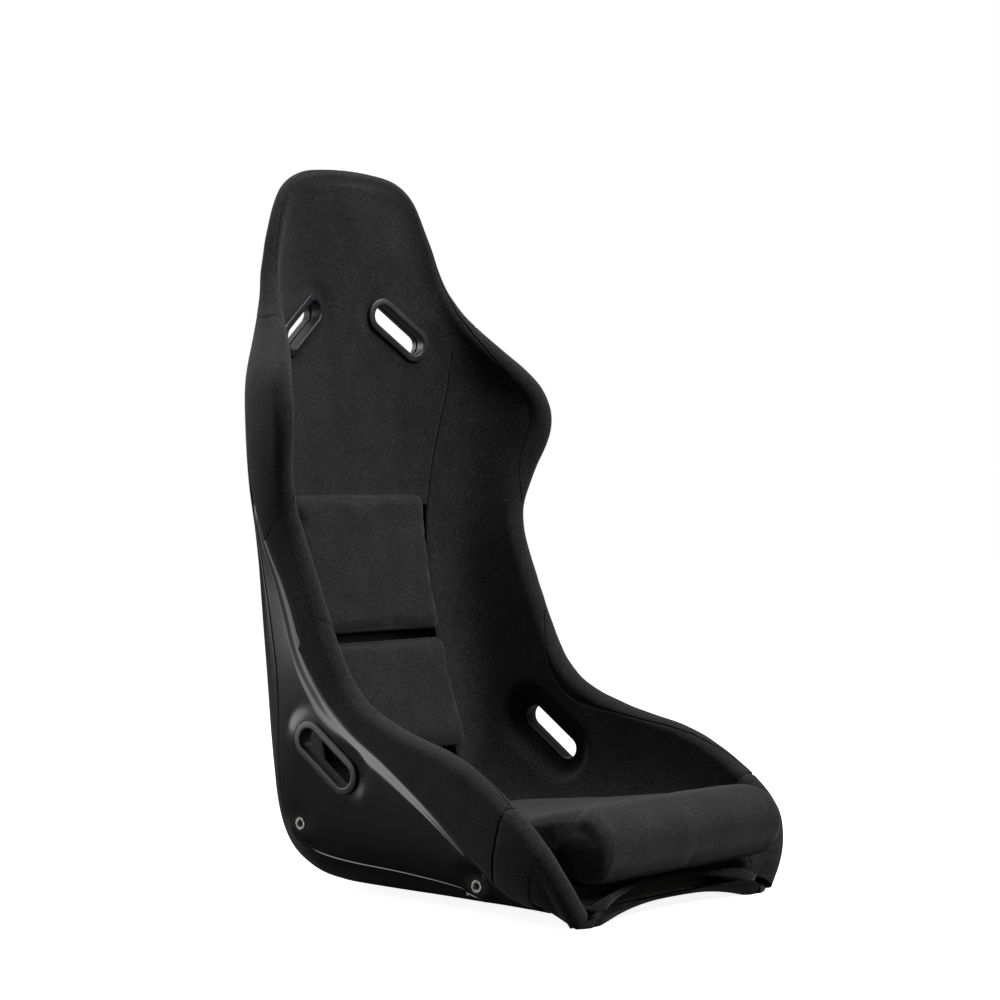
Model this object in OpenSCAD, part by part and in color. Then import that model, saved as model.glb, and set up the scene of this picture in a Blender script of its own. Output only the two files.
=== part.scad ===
// Fixed-back racing seat: moulded glass-fibre bucket with bonded back moulding,
// fabric trim over foam, removable pads and cushion, belt-slot bezels and four
// threaded side-mount inserts.  Millimetres, +X right, the occupant faces -Y,
// +Z up, origin on the floor under the middle of the seat.

/* [Shell] */
// Wall thickness of the glass-fibre mouldings
wall = 3; // [2:0.5:3.5]
// Depth of the joggle that the back moulding sits in
joggle = 4.4; // [4:0.1:6]

/* [Trim] */
// Thickness of the velour cover with its scrim
fabric = 2; // [1:0.5:2.4]
// Thickness of the removable back pads
pad_t = 18; // [12:1:20]
// Half of the back pads' width
pad_half = 128; // [100:1:132]
// Radius of the cushion's front roll
roll_r = 44; // [36:1:46]
// Half of the cushion's length across the seat
roll_half = 180; // [150:1:184]

/* [Belt slots] */
// Half of the clear width of every belt slot
slot_r = 13.5; // [11:0.5:15]
// Distance between the two end centres of a shoulder slot
shoulder_len = 62; // [50:1:66]
// Distance between the two end centres of a lap slot
lap_len = 66; // [56:1:70]
// Half of the bezel flange's width
flange_r = 22.5; // [19:0.5:24]

/* [Side mounts] */
// Distance between the front and the rear mounting hole
mount_pitch = 290; // [280:1:300]
// Radius of the threaded bore, M8
thread_r = 4; // [3:0.5:5]
// Length of the threaded bore
thread_len = 20; // [12:1:22]

/* [Hidden] */
gap = 0.4;
velour = [0.13, 0.13, 0.14];
foam_grey = [0.42, 0.42, 0.40];
gloss = [0.03, 0.03, 0.035];
satin = [0.2, 0.2, 0.21];
zinc = [0.62, 0.62, 0.6];

// Stations along the seat from the front edge over the pan and up the back:
// [centre y, centre z, rim x, rim y, rim z, wall turn, padding, outer fullness,
//  inner fullness, rim roll radius, direction that the rim points in]
STATION = [
    [-250, 13, 195, -249, 6, 15, 26, .80, .80, 14.5, 0],
    [-232, 8, 213, -245, 48, 80, 30, .86, .80, 14.5, 12],
    [-180, 3, 231, -217, 101, 90, 34, .88, .80, 14.5, 42],
    [-100, 0.5, 228, -124, 166, 90, 34, .90, .80, 14.5, 72],
    [0, 0, 217, -24, 194, 90, 34, .90, .80, 14.5, 80],
    [98, 0.5, 209, 46, 223, 90, 38, .91, .80, 14.5, 76],
    [175, 5, 206, 84, 259, 90, 48, .92, .80, 14.5, 72],
    [219, 36, 206, 107, 300, 90, 60, .92, .84, 14.5, 70],
    [233, 108, 206, 126, 344, 90, 60, .90, .88, 14.5, 68],
    [243, 198, 206, 143, 385, 90, 48, .87, .88, 14.5, 66],
    [253, 298, 208, 158, 424, 90, 32, .83, .88, 14.5, 60],
    [259, 400, 216, 167, 466, 88, 20, .80, .86, 14.5, 40],
    [270, 480, 232, 157, 518, 84, 17, .77, .78, 14.5, 20],
    [279, 560, 245, 142, 568, 80, 20, .75, .70, 14.5, 4],
    [286, 618, 237, 153, 612, 80, 23, .74, .64, 14.5, -4],
    [291, 665, 205, 186, 655, 80, 26, .74, .60, 13.5, -8],
    [292, 705, 176, 223, 698, 72, 28, .72, .58, 12.5, -8],
    [289, 745, 158, 247, 742, 54, 28, .55, .55, 11.5, 0],
    [284, 785, 144, 255, 787, 40, 28, .45, .50, 10.5, 0],
    [280, 822, 128, 260, 826, 30, 27, .45, .50, 10, 0],
    [277, 850, 112, 262, 853, 20, 25, .45, .50, 10, 0],
    [275, 862, 90, 263, 868, 10, 23, .45, .50, 10, 0],
    [274, 867, 58, 264, 876, 5, 22, .45, .50, 10, 0],
    [274, 869, 0, 264, 879, 0, 21, .45, .50, 10, 0]];
LAST = len(STATION) - 1;
TOP = LAST - 0.05;

// Where the back moulding ends, as a share of the way from the centre to the rim
SEAM = [.40, .42, .46, .54, .56, .55, .57, .66, .78, .80, .79, .74, .66, .62, .62, .64, .66,
        .68, .68, .68, .68, .68, .68, .68];
// Where the fabric that is wrapped round the rim ends on the outside
WRAP = [.05, .08, .58, .80, .92, .95, .95, .94, .92, .91, .88, .80, .70, .66, .66, .68, .70,
        .72, .72, .72, .72, .72, .72, .72];
// Where the centre panel is sewn to the side panels, on the inside
STITCH = [.50, .50, .50, .50, .50, .50, .42, .34, .30, .30, .30, .31, .37, .40, .49, .64, 1, 1,
          1, 1, 1, 1, 1, 1];
// Where the side panels are sewn to the rim panels; above 1 it is over the rim
RIMSEAM = [1.75, 1.75, 1.70, 1.30, 1.09, .98, .99, 1.24, 1.60, 1.60, 1.60, 1.58, .99, .96, .98,
           1.16, 1.3, 1.3, 1.3, 1.3, 1.3, 1.3, 1.3, 1.3];

// ---------- curves ----------
function unit(p) = p / max(norm(p), 1e-9);
function mix(a, b, t) = a * (1 - t) + b * t;
function ramp(t) = let(c = min(max(t, 0), 1)) c * c * (3 - 2 * c);
function spline(a, b, c, d, t) =
    0.5 * (2 * b + (c - a) * t + (2 * a - 5 * b + 4 * c - d) * t * t + (3 * b - a - 3 * c + d) * t * t * t);
function along(list, v) =
    let(i = min(floor(v), len(list) - 2), t = v - i, b = list[i], c = list[i + 1],
        a = i > 0 ? list[i - 1] : 2 * b - c,
        d = i + 2 < len(list) ? list[i + 2] : 2 * c - b)
    spline(a, b, c, d, t);
// A share along the seat keeps straight between the stations
function share(list, v) =
    let(i = min(floor(v), len(list) - 2)) mix(list[i], list[i + 1], v - i);
function bezier(p, t) =
    pow(1 - t, 3) * p[0] + 3 * t * pow(1 - t, 2) * p[1] + 3 * t * t * (1 - t) * p[2] + pow(t, 3) * p[3];

// One station's frame: [outer handles, inner handles, rim centre, rim radius, out, over]
function frame(v) =
    let(s = along(STATION, v), e = 0.001,
        s1 = along(STATION, max(v - e, 0)), s2 = along(STATION, min(v + e, LAST)),
        co = [0, s[0], s[1]], rim = [s[2], s[3], s[4]],
        along_c = unit([0, s2[0] - s1[0], s2[1] - s1[1]]),
        head = ramp((v - 15) / 3),
        inward = unit(mix([0, -along_c[2], along_c[1]], [0, -1, 0], head)),
        tau = unit([s2[2] - s1[2], s2[3] - s1[3], s2[4] - s1[4]]),
        rise = unit([0, rim[1] - co[1], rim[2] - co[2]]),
        crown = ramp((v - LAST + 4) / 4), front = ramp(1 - v),
        up0 = [cos(s[5]), sin(s[5]) * rise[1], sin(s[5]) * rise[2]],
        handle = unit(mix(up0, [0, 0, 1], crown)),
        tip0 = [cos(s[5]), -sin(s[5]) * cos(s[10]), sin(s[5]) * sin(s[10])],
        tip1 = unit(mix(unit(mix(tip0, [0, -1, 0], front)), [0, 0, 1], crown)),
        over = unit(tip1 - tau * (tip1 * tau)),
        side = cross(over, tau),
        aim = [sin(s[5]), 0, 0] - inward * cos(s[5]),
        out = unit(side * (side * aim < 0 ? -1 : 1)),
        ci = co + inward * s[6], so = rim + s[9] * out, ti = rim - s[9] * out,
        flat_reach = abs(handle[0]) * 0.45 * rim[0],
        lo = s[7] * (norm([0, rim[1] - co[1], rim[2] - co[2]]) * (1 - abs(handle[0])) + flat_reach),
        li = s[8] * (norm([0, rim[1] - ci[1], rim[2] - ci[2]]) * (1 - abs(handle[0])) + flat_reach))
    [[co, co + [s[7] * rim[0], 0, 0], so - handle * lo, so],
     [ci, ci + [s[8] * rim[0], 0, 0], ti - handle * li, ti], rim, s[9], out, over];

// ---------- flat lands ----------
// The skins are drawn onto each belt slot's plane near it, so the seat is thin there.
// A plane is [place, along the slot, across it, outward]
function spin_z(p, a) = [p[0] * cos(a) - p[1] * sin(a), p[0] * sin(a) + p[1] * cos(a), p[2]];
function shoulder_turn(p) = let(q = spin_z(p, -35)) spin_z([q[0], -q[2], q[1]], -12);
function lap_turn(p) = let(q = spin_z(p, 126)) [q[2], q[1], -q[0]];
SHOULDER = [[90, 256.5, 689], shoulder_turn([1, 0, 0]), shoulder_turn([0, 1, 0]), shoulder_turn([0, 0, 1])];
LAP = [[220, 94, 170], lap_turn([1, 0, 0]), lap_turn([0, 1, 0]), lap_turn([0, 0, 1])];
shoulder_depth = 18;
lap_depth = 15;
land_reach = 20;
// Moves p by what its surface s is off the given level over the plane
function pull(p, s, plane, len, level) =
    let(q = s - plane[0], a = q * plane[1], h = q * plane[3], c = min(max(a, -len / 2), len / 2),
        d = norm([a - c, q * plane[2]]), near = abs(h - level) < 45 ? 1 : 0,
        k = near * (1 - ramp((d - flange_r - 2) / land_reach)))
    p + plane[3] * (k * (level - h));

// ---------- layers ----------
// Depth of the tub's outer face below the outer skin: joggled behind the back
// moulding, flush beside it and sunk under the wrapped fabric
function tub_depth(v, u, chord) =
    let(seam = share(SEAM, v), wrap = share(WRAP, v), bare = 1 - ramp((v - 11.4) / 0.6),
        flush = (v < 1.6 ? 0 : bare),
        sunk = max(joggle, chord - 9 - wall),
        behind = mix(sunk, joggle, ramp(u / seam)))
    v < 1.6 ? fabric + gap :
    u < seam ? behind :
    u < wrap ? (fabric + gap) * (1 - flush) : fabric + gap;
// A point at a depth d below the outer skin, in a layer whose outer face is at depth face
function from_outer(f, u, d, face = 0) =
    let(s = bezier(f[0], u), t = bezier(f[1], u), way = unit(t - s), skin = s + way * face,
        p = pull(s + way * d, skin, LAP, lap_len, -face))
    pull(p, skin, SHOULDER, shoulder_len, min(face, joggle) - shoulder_depth);
// A point at a depth below the trim surface; w runs 0..1 over the inside, 1..2
// round the rim and 2..3 back down the outside
function from_trim(f, w, d) =
    w <= 1 ? (let(s = bezier(f[0], w), t = bezier(f[1], w), p = t + unit(s - t) * d)
              pull(pull(p, t, SHOULDER, shoulder_len, 0), t, LAP, lap_len, -lap_depth)) :
    w < 2 ? (let(a = (w - 1) * 180, r = f[3] - d) f[2] + r * (-f[4] * cos(a) + f[5] * sin(a))) :
    from_outer(f, 3 - w, d);
function chord(f, u) = norm(bezier(f[0], u) - bezier(f[1], u));

// ---------- solids ----------
// A closed slab between two equal grids of points, the first one outside
module slab(a, b) {
    r = len(a);
    c = len(a[0]);
    n = r * c;
    function id(i, j, s) = s * n + i * c + j;
    skin = [for (i = [0:r - 2], j = [0:c - 2]) each [
        [id(i, j, 0), id(i + 1, j, 0), id(i + 1, j + 1, 0)],
        [id(i, j, 0), id(i + 1, j + 1, 0), id(i, j + 1, 0)],
        [id(i, j, 1), id(i + 1, j + 1, 1), id(i + 1, j, 1)],
        [id(i, j, 1), id(i, j + 1, 1), id(i + 1, j + 1, 1)]]];
    ends = [for (j = [0:c - 2]) each [
        [id(0, j, 0), id(0, j + 1, 0), id(0, j + 1, 1)],
        [id(0, j, 0), id(0, j + 1, 1), id(0, j, 1)],
        [id(r - 1, j, 0), id(r - 1, j + 1, 1), id(r - 1, j + 1, 0)],
        [id(r - 1, j, 0), id(r - 1, j, 1), id(r - 1, j + 1, 1)]]];
    sides = [for (i = [0:r - 2]) each [
        [id(i, 0, 0), id(i, 0, 1), id(i + 1, 0, 1)],
        [id(i, 0, 0), id(i + 1, 0, 1), id(i + 1, 0, 0)],
        [id(i, c - 1, 0), id(i + 1, c - 1, 1), id(i, c - 1, 1)],
        [id(i, c - 1, 0), id(i + 1, c - 1, 0), id(i + 1, c - 1, 1)]]];
    polyhedron(concat([for (g = [a, b]) for (row = g) for (p = row) p]), concat(skin, ends, sides));
}
// A half row from the centre outwards, made whole by its mirror image
function flip(p) = [-p[0], p[1], p[2]];
function whole(row) = concat([for (j = [len(row) - 1:-1:1]) flip(row[j])], row);
function steps(a, b, n) = [for (i = [0:n]) a + (b - a) * i / n];
// The same slab for the left-hand side
module left() mirror([1, 0, 0]) children();

// A belt slot's outline: two exact round ends joined by a bar, h thick on +Z
module slot_bar(r, len, h) {
    for (s = [-1, 1]) translate([s * len / 2, 0, 0]) cylinder(r = r, h = h, $fn = 64);
    translate([-len / 2, -r, 0]) cube([len, 2 * r, h]);
}
// A moulded ring that follows the slot, from its half profile (radius, height)
module slot_ring(len, profile) {
    for (s = [0, 180]) rotate([0, 0, s]) {
        translate([len / 2, 0, 0]) rotate([0, 0, -90]) rotate_extrude(angle = 180, $fn = 64) polygon(profile);
        translate([-len / 2, 0, 0]) rotate([90, 0, 90]) linear_extrude(len) polygon(profile);
    }
}
// Flange with a crowned face and the sleeve behind it; h is the sleeve's length
function bezel_profile(h) = [
    [slot_r, -h], [slot_r, 2.2], [slot_r + 0.5, 3.0], [slot_r + 1.6, 3.5], [slot_r + 4, 3.6],
    [flange_r - 3, 3.2], [flange_r - 1, 2.3], [flange_r - 0.2, 1.1], [flange_r, 0],
    [flange_r - 1.4, -0.6], [slot_r + 2.2, -0.6], [slot_r + 2.2, -h]];
// Plane of a shoulder slot, on the right-hand side: +Z points forward out of the trim
module at_shoulder(d = 0) translate(SHOULDER[0]) rotate([0, 0, -12]) rotate([90, 0, 0])
    rotate([0, 0, -35]) translate([0, 0, d]) children();
// Plane of a lap slot, on the right-hand side: +Z points out of the shell's side
module at_lap(d = 0) translate(LAP[0]) rotate([0, 90, 0]) rotate([0, 0, 90]) rotate([0, 0, 36])
    translate([0, 0, d]) children();
module both() { children(); mirror([1, 0, 0]) children(); }
hole_r = slot_r + 2.6;
foam_hole_r = slot_r + 5;
module shoulder_cut(r) both() at_shoulder(-60) slot_bar(r, shoulder_len, 90);
module lap_cut(r) at_lap(-60) slot_bar(r, lap_len, 90);

// ---------- mouldings ----------
V_TUB = [0, .6, 1.2, 1.58, 1.62, 2, 2.5, 3, 3.5, 4, 4.5, 5, 5.5, 6, 6.35, 6.7, 7, 7.35, 7.7, 8, 8.5, 9,
         9.5, 10, 10.5, 11, 11.6, 12.2, 12.8, 13.4, 14, 14.5, 15, 15.5, 16, 16.6, 17.3, 18, 19, 20, 21, 22, TOP];
function tub_columns(v) =
    let(seam = share(SEAM, v), wrap = share(WRAP, v))
    [0, .3 * seam, .55 * seam, .78 * seam, .92 * seam, seam - .002, min(seam + .012, mix(seam, wrap, .12)),
     mix(seam, wrap, .25), mix(seam, wrap, .45), mix(seam, wrap, .7), max(wrap - .012, mix(seam, wrap, .85)),
     wrap + .004, mix(wrap, 1, .5), 1];
TUB_SPLIT = 8;
SEAM_COLUMN = 5;
RIM_COLUMN = 13;
function tub_row(v, c0, c1, d) = let(f = frame(v), columns = tub_columns(v)) [for (j = [c0:c1])
    let(u = columns[j], face = tub_depth(v, u, chord(f, u))) from_outer(f, u, face + d, face)];
function tub_rows(low, high) = [for (v = V_TUB) if (v >= low && v <= high) v];
// The tub is one moulding, given as a pan, an inner back, two sides and two shoulders
module tub_middle(low, high) slab([for (v = tub_rows(low, high)) whole(tub_row(v, 0, SEAM_COLUMN, 0))],
                                  [for (v = tub_rows(low, high)) whole(tub_row(v, 0, SEAM_COLUMN, wall))]);
module tub_edge(low, high) slab([for (v = tub_rows(low, high)) tub_row(v, SEAM_COLUMN, RIM_COLUMN, 0)],
                                [for (v = tub_rows(low, high)) tub_row(v, SEAM_COLUMN, RIM_COLUMN, wall)]);
module shell_pan() color(gloss) tub_middle(0, TUB_SPLIT);
module shell_inner_back() color(gloss) difference() {
    tub_middle(TUB_SPLIT, LAST);
    shoulder_cut(hole_r);
}
module shell_side() color(gloss) difference() {
    tub_edge(0, TUB_SPLIT);
    lap_cut(hole_r);
    insert_places() rotate([0, -90, 0]) translate([0, 0, -6]) cylinder(r = 6.4, h = 20, $fn = 48);
}
module shell_side_right() shell_side();
module shell_side_left() left() shell_side();
module shell_shoulder_right() color(gloss) tub_edge(TUB_SPLIT, LAST);
module shell_shoulder_left() left() shell_shoulder_right();

V_BACK = [for (v = V_TUB) if (v > 1.61 && v < 20.1) v];
function back_grid(d) = [for (v = V_BACK) let(f = frame(v), e = share(SEAM, v) - .008)
    whole([for (k = [0, .3, .55, .75, .88, 1]) from_outer(f, k * e, d)])];
module shell_back() color(gloss) difference() {
    slab(back_grid(0), back_grid(wall));
    shoulder_cut(hole_r);
}

// Adhesive between the back moulding's flange and the tub's joggle
function bead_grid(d) = [for (v = [for (v = V_TUB) if (v > 1.61 && v < 19.5) v]) let(f = frame(v), e = share(SEAM, v))
    [for (k = [.93, .955, .98]) from_outer(f, k * e, d)]];
module bond_bead() color([0.25, 0.24, 0.2]) slab(bead_grid(wall + 0.2), bead_grid(joggle - 0.2));
module bond_bead_right() bond_bead();
module bond_bead_left() left() bond_bead();

// ---------- side mounts ----------
mount_rise = 9.2;
insert_lip = 1.2;
mount_front = [218.2, -134, 40];
mount_rear = [203.4, mount_front[1] + mount_pitch * cos(mount_rise), mount_front[2] + mount_pitch * sin(mount_rise)];
module insert_places() for (p = [mount_front, mount_rear]) translate(p) children();
module mount_insert() rotate([0, 90, 0]) difference() {
    union() {
        cylinder(r = 7.5, h = insert_lip, $fn = 64);
        translate([0, 0, insert_lip - thread_len]) cylinder(r = 6, h = thread_len - insert_lip, $fn = 64);
    }
    translate([0, 0, -thread_len]) cylinder(r = thread_r, h = 2 * thread_len, $fn = 48);
}
module mount_inserts() color(zinc) both() insert_places() mount_insert();
// Steel plate bonded inside the side wall round each insert
module mount_plate() color(zinc) insert_places() rotate([0, 90, 0]) translate([0, 0, -13.6]) difference() {
    translate([-13, -24, 0]) cube([26, 48, 3]);
    translate([0, 0, -1]) cylinder(r = 6.2, h = 6, $fn = 48);
}
module mount_plate_right() mount_plate();
module mount_plate_left() left() mount_plate();

// ---------- foam ----------
cover = fabric + 1.2;
// The foam is hollowed behind each side-mount insert, so it stays clear of the insert and its plate
insert_room = 24;
function from_mount(p, m) = norm([p[1] - m[1], p[2] - m[2]]) + (abs(p[0]) > 150 ? 0 : 100);
function room(p) = insert_room * (1 - ramp((min(from_mount(p, mount_front), from_mount(p, mount_rear)) - 40) / 14));
function foam_outer(f, v, u) = let(c = chord(f, u), face = tub_depth(v, u, c), skin = bezier(f[0], u),
        depth = min(face + wall + 1 + room(skin), max(c - cover - 1.5, face + wall + 1)))
    from_outer(f, u, depth, face);
V_CENTRE = [11.7, 12.2, 12.8, 13.4, 14, 14.5, 15, 15.4, 15.8, 16.2, 16.6, 17.3, 18, 19, 20, 21, 22, TOP];
function centre_edge(v) = v < 15.4 ? share(STITCH, v) : mix(.665, .97, ramp((v - 15.4) / 0.8));
function centre_rows(v, low) = let(f = frame(v), e = centre_edge(v)) whole([for (k = [0, .25, .5, .75, .92, 1])
    low ? foam_outer(f, v, k * e - .004) : from_trim(f, k * e - .004, cover)]);
module back_foam() color(foam_grey) difference() {
    slab([for (v = V_CENTRE) centre_rows(v, true)], [for (v = V_CENTRE) centre_rows(v, false)]);
    shoulder_cut(foam_hole_r);
}

// Side foam: bolster inside the wall and the roll round the shell's edge
V_SIDE = [for (v = V_TUB) if (v >= 2 && v <= 15.5) v];
function side_start(v) = share(STITCH, v) + .012;
function foam_columns(v, start) = let(seam = share(SEAM, v), wrap = share(WRAP, v))
    [start, mix(start, seam, .55), seam, mix(seam, wrap, .3), mix(seam, wrap, .65), wrap + .004, 1];
function foam_rows(v, low, start) = let(f = frame(v))
    concat([for (u = foam_columns(v, start))
            low ? foam_outer(f, v, u) : from_trim(f, u, cover)],
           [for (a = [40, 80, 120, 160]) let(r = f[3] - cover)
            low ? f[2] + f[5] * 0.6 + f[4] * (r - 4 + a / 80) : f[2] + r * (-f[4] * cos(a) + f[5] * sin(a))]);
module side_foam() color(foam_grey) difference() {
    slab([for (v = V_SIDE) foam_rows(v, true, side_start(v))], [for (v = V_SIDE) foam_rows(v, false, side_start(v))]);
    lap_cut(foam_hole_r);
}
module side_foam_right() side_foam();
module side_foam_left() left() side_foam();

V_PAN = [0.12, 0.6, 1.2, 1.58, 1.62, 2.1, 3, 4, 5, 5.6];
function pan_rows(v, low) = let(f = frame(v), e = share(STITCH, v) - .012) whole([for (k = [0, .35, .7, 1])
    low ? foam_outer(f, v, k * e) : from_trim(f, k * e, cover)]);
module pan_foam() color(foam_grey)
    slab([for (v = V_PAN) pan_rows(v, true)], [for (v = V_PAN) pan_rows(v, false)]);

// ---------- covers ----------
// A cover from w0(v) to w1(v) over the trim surface at the given stations
module panel(stations, w0, w1, n) color(velour) slab(
    [for (v = stations) let(f = frame(v)) [for (k = [0:n]) from_trim(f, mix(w0(v), w1(v), k / n), fabric)]],
    [for (v = stations) let(f = frame(v)) [for (k = [0:n]) from_trim(f, mix(w0(v), w1(v), k / n), 0)]]);

function centre_skin(v, d) = let(f = frame(v), e = centre_edge(v)) whole([for (k = [0, .25, .5, .75, .92, 1])
    from_trim(f, k * e, d)]);
module centre_cover() color(velour) difference() {
    slab([for (v = V_CENTRE) centre_skin(v, fabric)], [for (v = V_CENTRE) centre_skin(v, 0)]);
    shoulder_cut(hole_r);
}

// Strip round the headrest's edge and onto its back, from one shoulder to the other
V_EDGE = [15.7, 16.2, 16.8, 17.5, 18.3, 19.2, 20, 20.7, 21.4, 22.2, LAST];
function edge_row(v, d) = let(f = frame(v), w0 = mix(1.25, 1.0, ramp((v - 15.5) / 1)), w1 = 3 - share(WRAP, v) - .02)
    [for (w = [w0, 1.3, 1.6, 2, mix(2, w1, .5), w1]) from_trim(f, max(w, w0), d)];
function edge_grid(d) = concat([for (v = V_EDGE) edge_row(v, d)],
    [for (i = [len(V_EDGE) - 2:-1:0]) [for (p = edge_row(V_EDGE[i], d)) flip(p)]]);
module headrest_edge_cover() color(velour) slab(edge_grid(fabric), edge_grid(0));

// Side panel; it turns over the rim where no rim panel covers it
LOWER_END = 7.55;
UPPER_START = 11.05;
function outer_end(v) = 3 - share(WRAP, v) - .01;
function side_end(v) = v < LOWER_END || v > UPPER_START ? share(RIMSEAM, v) - .006 : outer_end(v);
module side_panel() difference() {
    panel([2.35, 2.7, 3, 3.6, 4.2, 4.8, 5.4, 6, 6.5, 7, 7.5, 7.58, 8, 8.5, 9, 9.5, 10, 10.5, 11, 11.1, 11.6, 12.1, 12.6,
           13.2, 13.8, 14.4, 15, 15.4],
          function(v) share(STITCH, v) + .006, function(v) side_end(v), 11);
    lap_cut(hole_r);
}
module side_cover_right() side_panel();
module side_cover_left() left() side_panel();

module upper_rim() panel([11.06, 11.3, 11.7, 12.2, 12.8, 13.3, 13.8, 14.3, 14.8, 15.2, 15.6],
    function(v) share(RIMSEAM, v) + .008, function(v) outer_end(v), 8);
module upper_rim_cover_right() upper_rim();
module upper_rim_cover_left() left() upper_rim();

module lower_rim() panel([2.35, 2.7, 3.2, 3.7, 4.3, 5, 5.6, 6.2, 6.8, 7.2, 7.54],
    function(v) share(RIMSEAM, v) + .008, function(v) outer_end(v), 8);
module lower_rim_cover_right() lower_rim();
module lower_rim_cover_left() left() lower_rim();

// Where the front lip panel meets the corner panels
function lip_edge(v) = mix(.70, .58, v / 2);
module corner() panel([0, .4, .8, 1.2, 1.6, 2, 2.32], function(v) lip_edge(v) + .02,
    function(v) v < 1.65 ? mix(2.25, 2.32, v / 1.6) : outer_end(v), 10);
module corner_cover_right() corner();
module corner_cover_left() left() corner();

function lip_row(v, d) = let(f = frame(v)) whole([for (k = [0, .25, .5, .75, 1]) from_trim(f, k * lip_edge(v), d)]);
module front_lip_cover() color(velour)
    slab([for (v = [0, .5, 1, 1.5, 2]) lip_row(v, fabric)], [for (v = [0, .5, 1, 1.5, 2]) lip_row(v, 0)]);

// ---------- pads and cushion ----------
// Front face of the back pads at the centre: [z, y]
PAD_FACE = [[120, 156], [180, 170], [230, 186], [290, 205], [350, 218], [410, 229], [450, 236], [486, 241]];
function face_y(z, i = 0) = z <= PAD_FACE[i + 1][0] || i + 2 >= len(PAD_FACE) ?
    mix(PAD_FACE[i][1], PAD_FACE[i + 1][1], (z - PAD_FACE[i][0]) / (PAD_FACE[i + 1][0] - PAD_FACE[i][0])) : face_y(z, i + 1);
// Half width of a pad whose corners are rounded by r
function pad_width(z, z0, z1, half, r) = let(d = max(r - min(z - z0, z1 - z), 0)) half - r + sqrt(max(r * r - d * d, 0));
// Grid of one face of a pad, e inside its outline and d behind its front face
function pad_grid(z0, z1, half, e, d, bulge) = [for (t = [0, .025, .08, .2, .4, .6, .8, .92, .975, 1])
    let(z = mix(z0 + e, z1 - e, t), w = pad_width(z, z0 + e, z1 - e, half - e, 10),
        edge_z = ramp(min(t, 1 - t) / .08))
    [for (x = [-1, -.95, -.85, -.5, 0, .5, .85, .95, 1])
        let(edge = edge_z * ramp((1 - abs(x)) / .15)) [x * w, face_y(z) + d + bulge * (1 - edge), z]]];
module pad(z0, z1, e, thick) slab(pad_grid(z0, z1, pad_half, e, e, 5), pad_grid(z0, z1, pad_half, e, e + thick, 0));
module pad_shell(z0, z1) color(velour) difference() {
    pad(z0, z1, 0, pad_t - 4);
    pad(z0, z1, fabric, pad_t - 4 - 2 * fabric);
}
module upper_pad_cover() pad_shell(299, 482);
module upper_pad_foam() color(foam_grey) pad(299, 482, fabric + 0.3, pad_t - 4.6 - 2 * fabric);
module lower_pad_cover() pad_shell(150, 296);
module lower_pad_foam() color(foam_grey) pad(150, 296, fabric + 0.3, pad_t - 4.6 - 2 * fabric);

// Cushion: a half-round front roll with a flat tail that runs back under the pads
roll_y = -250;
roll_z = 88;
tail_y = 118;
function cushion_profile(e) = let(r = roll_r - e) concat(
    [for (a = [80:-20:-120]) [roll_y - r * cos(a), roll_z + r * sin(a)]],
    [[-205 + e, 46 + e], [-60, 41 + e], [tail_y - e, 45 + e], [tail_y - e, 84 - e], [-40, 98 - e], [-150, 112 - e]]);
module cushion(e) rotate([90, 0, 90]) translate([0, 0, -roll_half + e])
    linear_extrude(2 * (roll_half - e)) polygon(cushion_profile(e));
module cushion_cover() color(velour) difference() {
    cushion(0);
    cushion(fabric);
}
module cushion_foam() color(foam_grey) cushion(fabric + 0.3);

// Hook strips that hold the pads to the trim
module pad_hook_strips() color([0.08, 0.08, 0.08]) for (z = [200, 250, 350, 430], s = [-1, 1])
    translate([s * 70 - 20, face_y(z) + pad_t - 3.4, z - 12]) cube([40, 1.6, 24]);

// ---------- belt-slot bezels ----------
module shoulder_bezel() color(satin) at_shoulder(0.6) slot_ring(shoulder_len, bezel_profile(11));
module shoulder_bezel_right() shoulder_bezel();
module shoulder_bezel_left() left() shoulder_bezel();
module shoulder_sleeve() color(satin) at_shoulder(-shoulder_depth - 0.6) rotate([180, 0, 0])
    slot_ring(shoulder_len, bezel_profile(6));
module shoulder_sleeve_right() shoulder_sleeve();
module shoulder_sleeve_left() left() shoulder_sleeve();
module lap_bezel() color(satin) at_lap(0.6) slot_ring(lap_len, bezel_profile(lap_depth + 1));
module lap_bezel_right() lap_bezel();
module lap_bezel_left() left() lap_bezel();

shell_pan();
shell_inner_back();
shell_side_left();
shell_side_right();
shell_shoulder_left();
shell_shoulder_right();
shell_back();
bond_bead_left();
bond_bead_right();
mount_inserts();
mount_plate_left();
mount_plate_right();
back_foam();
side_foam_left();
side_foam_right();
pan_foam();
centre_cover();
headrest_edge_cover();
side_cover_left();
side_cover_right();
upper_rim_cover_left();
upper_rim_cover_right();
lower_rim_cover_left();
lower_rim_cover_right();
corner_cover_left();
corner_cover_right();
front_lip_cover();
upper_pad_cover();
upper_pad_foam();
lower_pad_cover();
lower_pad_foam();
cushion_cover();
cushion_foam();
pad_hook_strips();
shoulder_bezel_left();
shoulder_bezel_right();
shoulder_sleeve_left();
shoulder_sleeve_right();
lap_bezel_left();
lap_bezel_right();
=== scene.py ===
# %% [markdown]
# # A fixed-back racing seat
# The real seat is a glass-fibre bucket made of two mouldings bonded together, trimmed with black velour
# over foam. Everything on it follows one flowing surface, so this lesson first writes that surface as a
# formula, and then cuts each piece out of it: the shells, the foams and the fabric panels. Loose padded
# pieces, the two back pads and the cushion, are blown up with a short cloth simulation.

# %% load the frame
import math
import bmesh
import bpy
import numpy as np
from mathutils import Matrix, Vector


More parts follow.
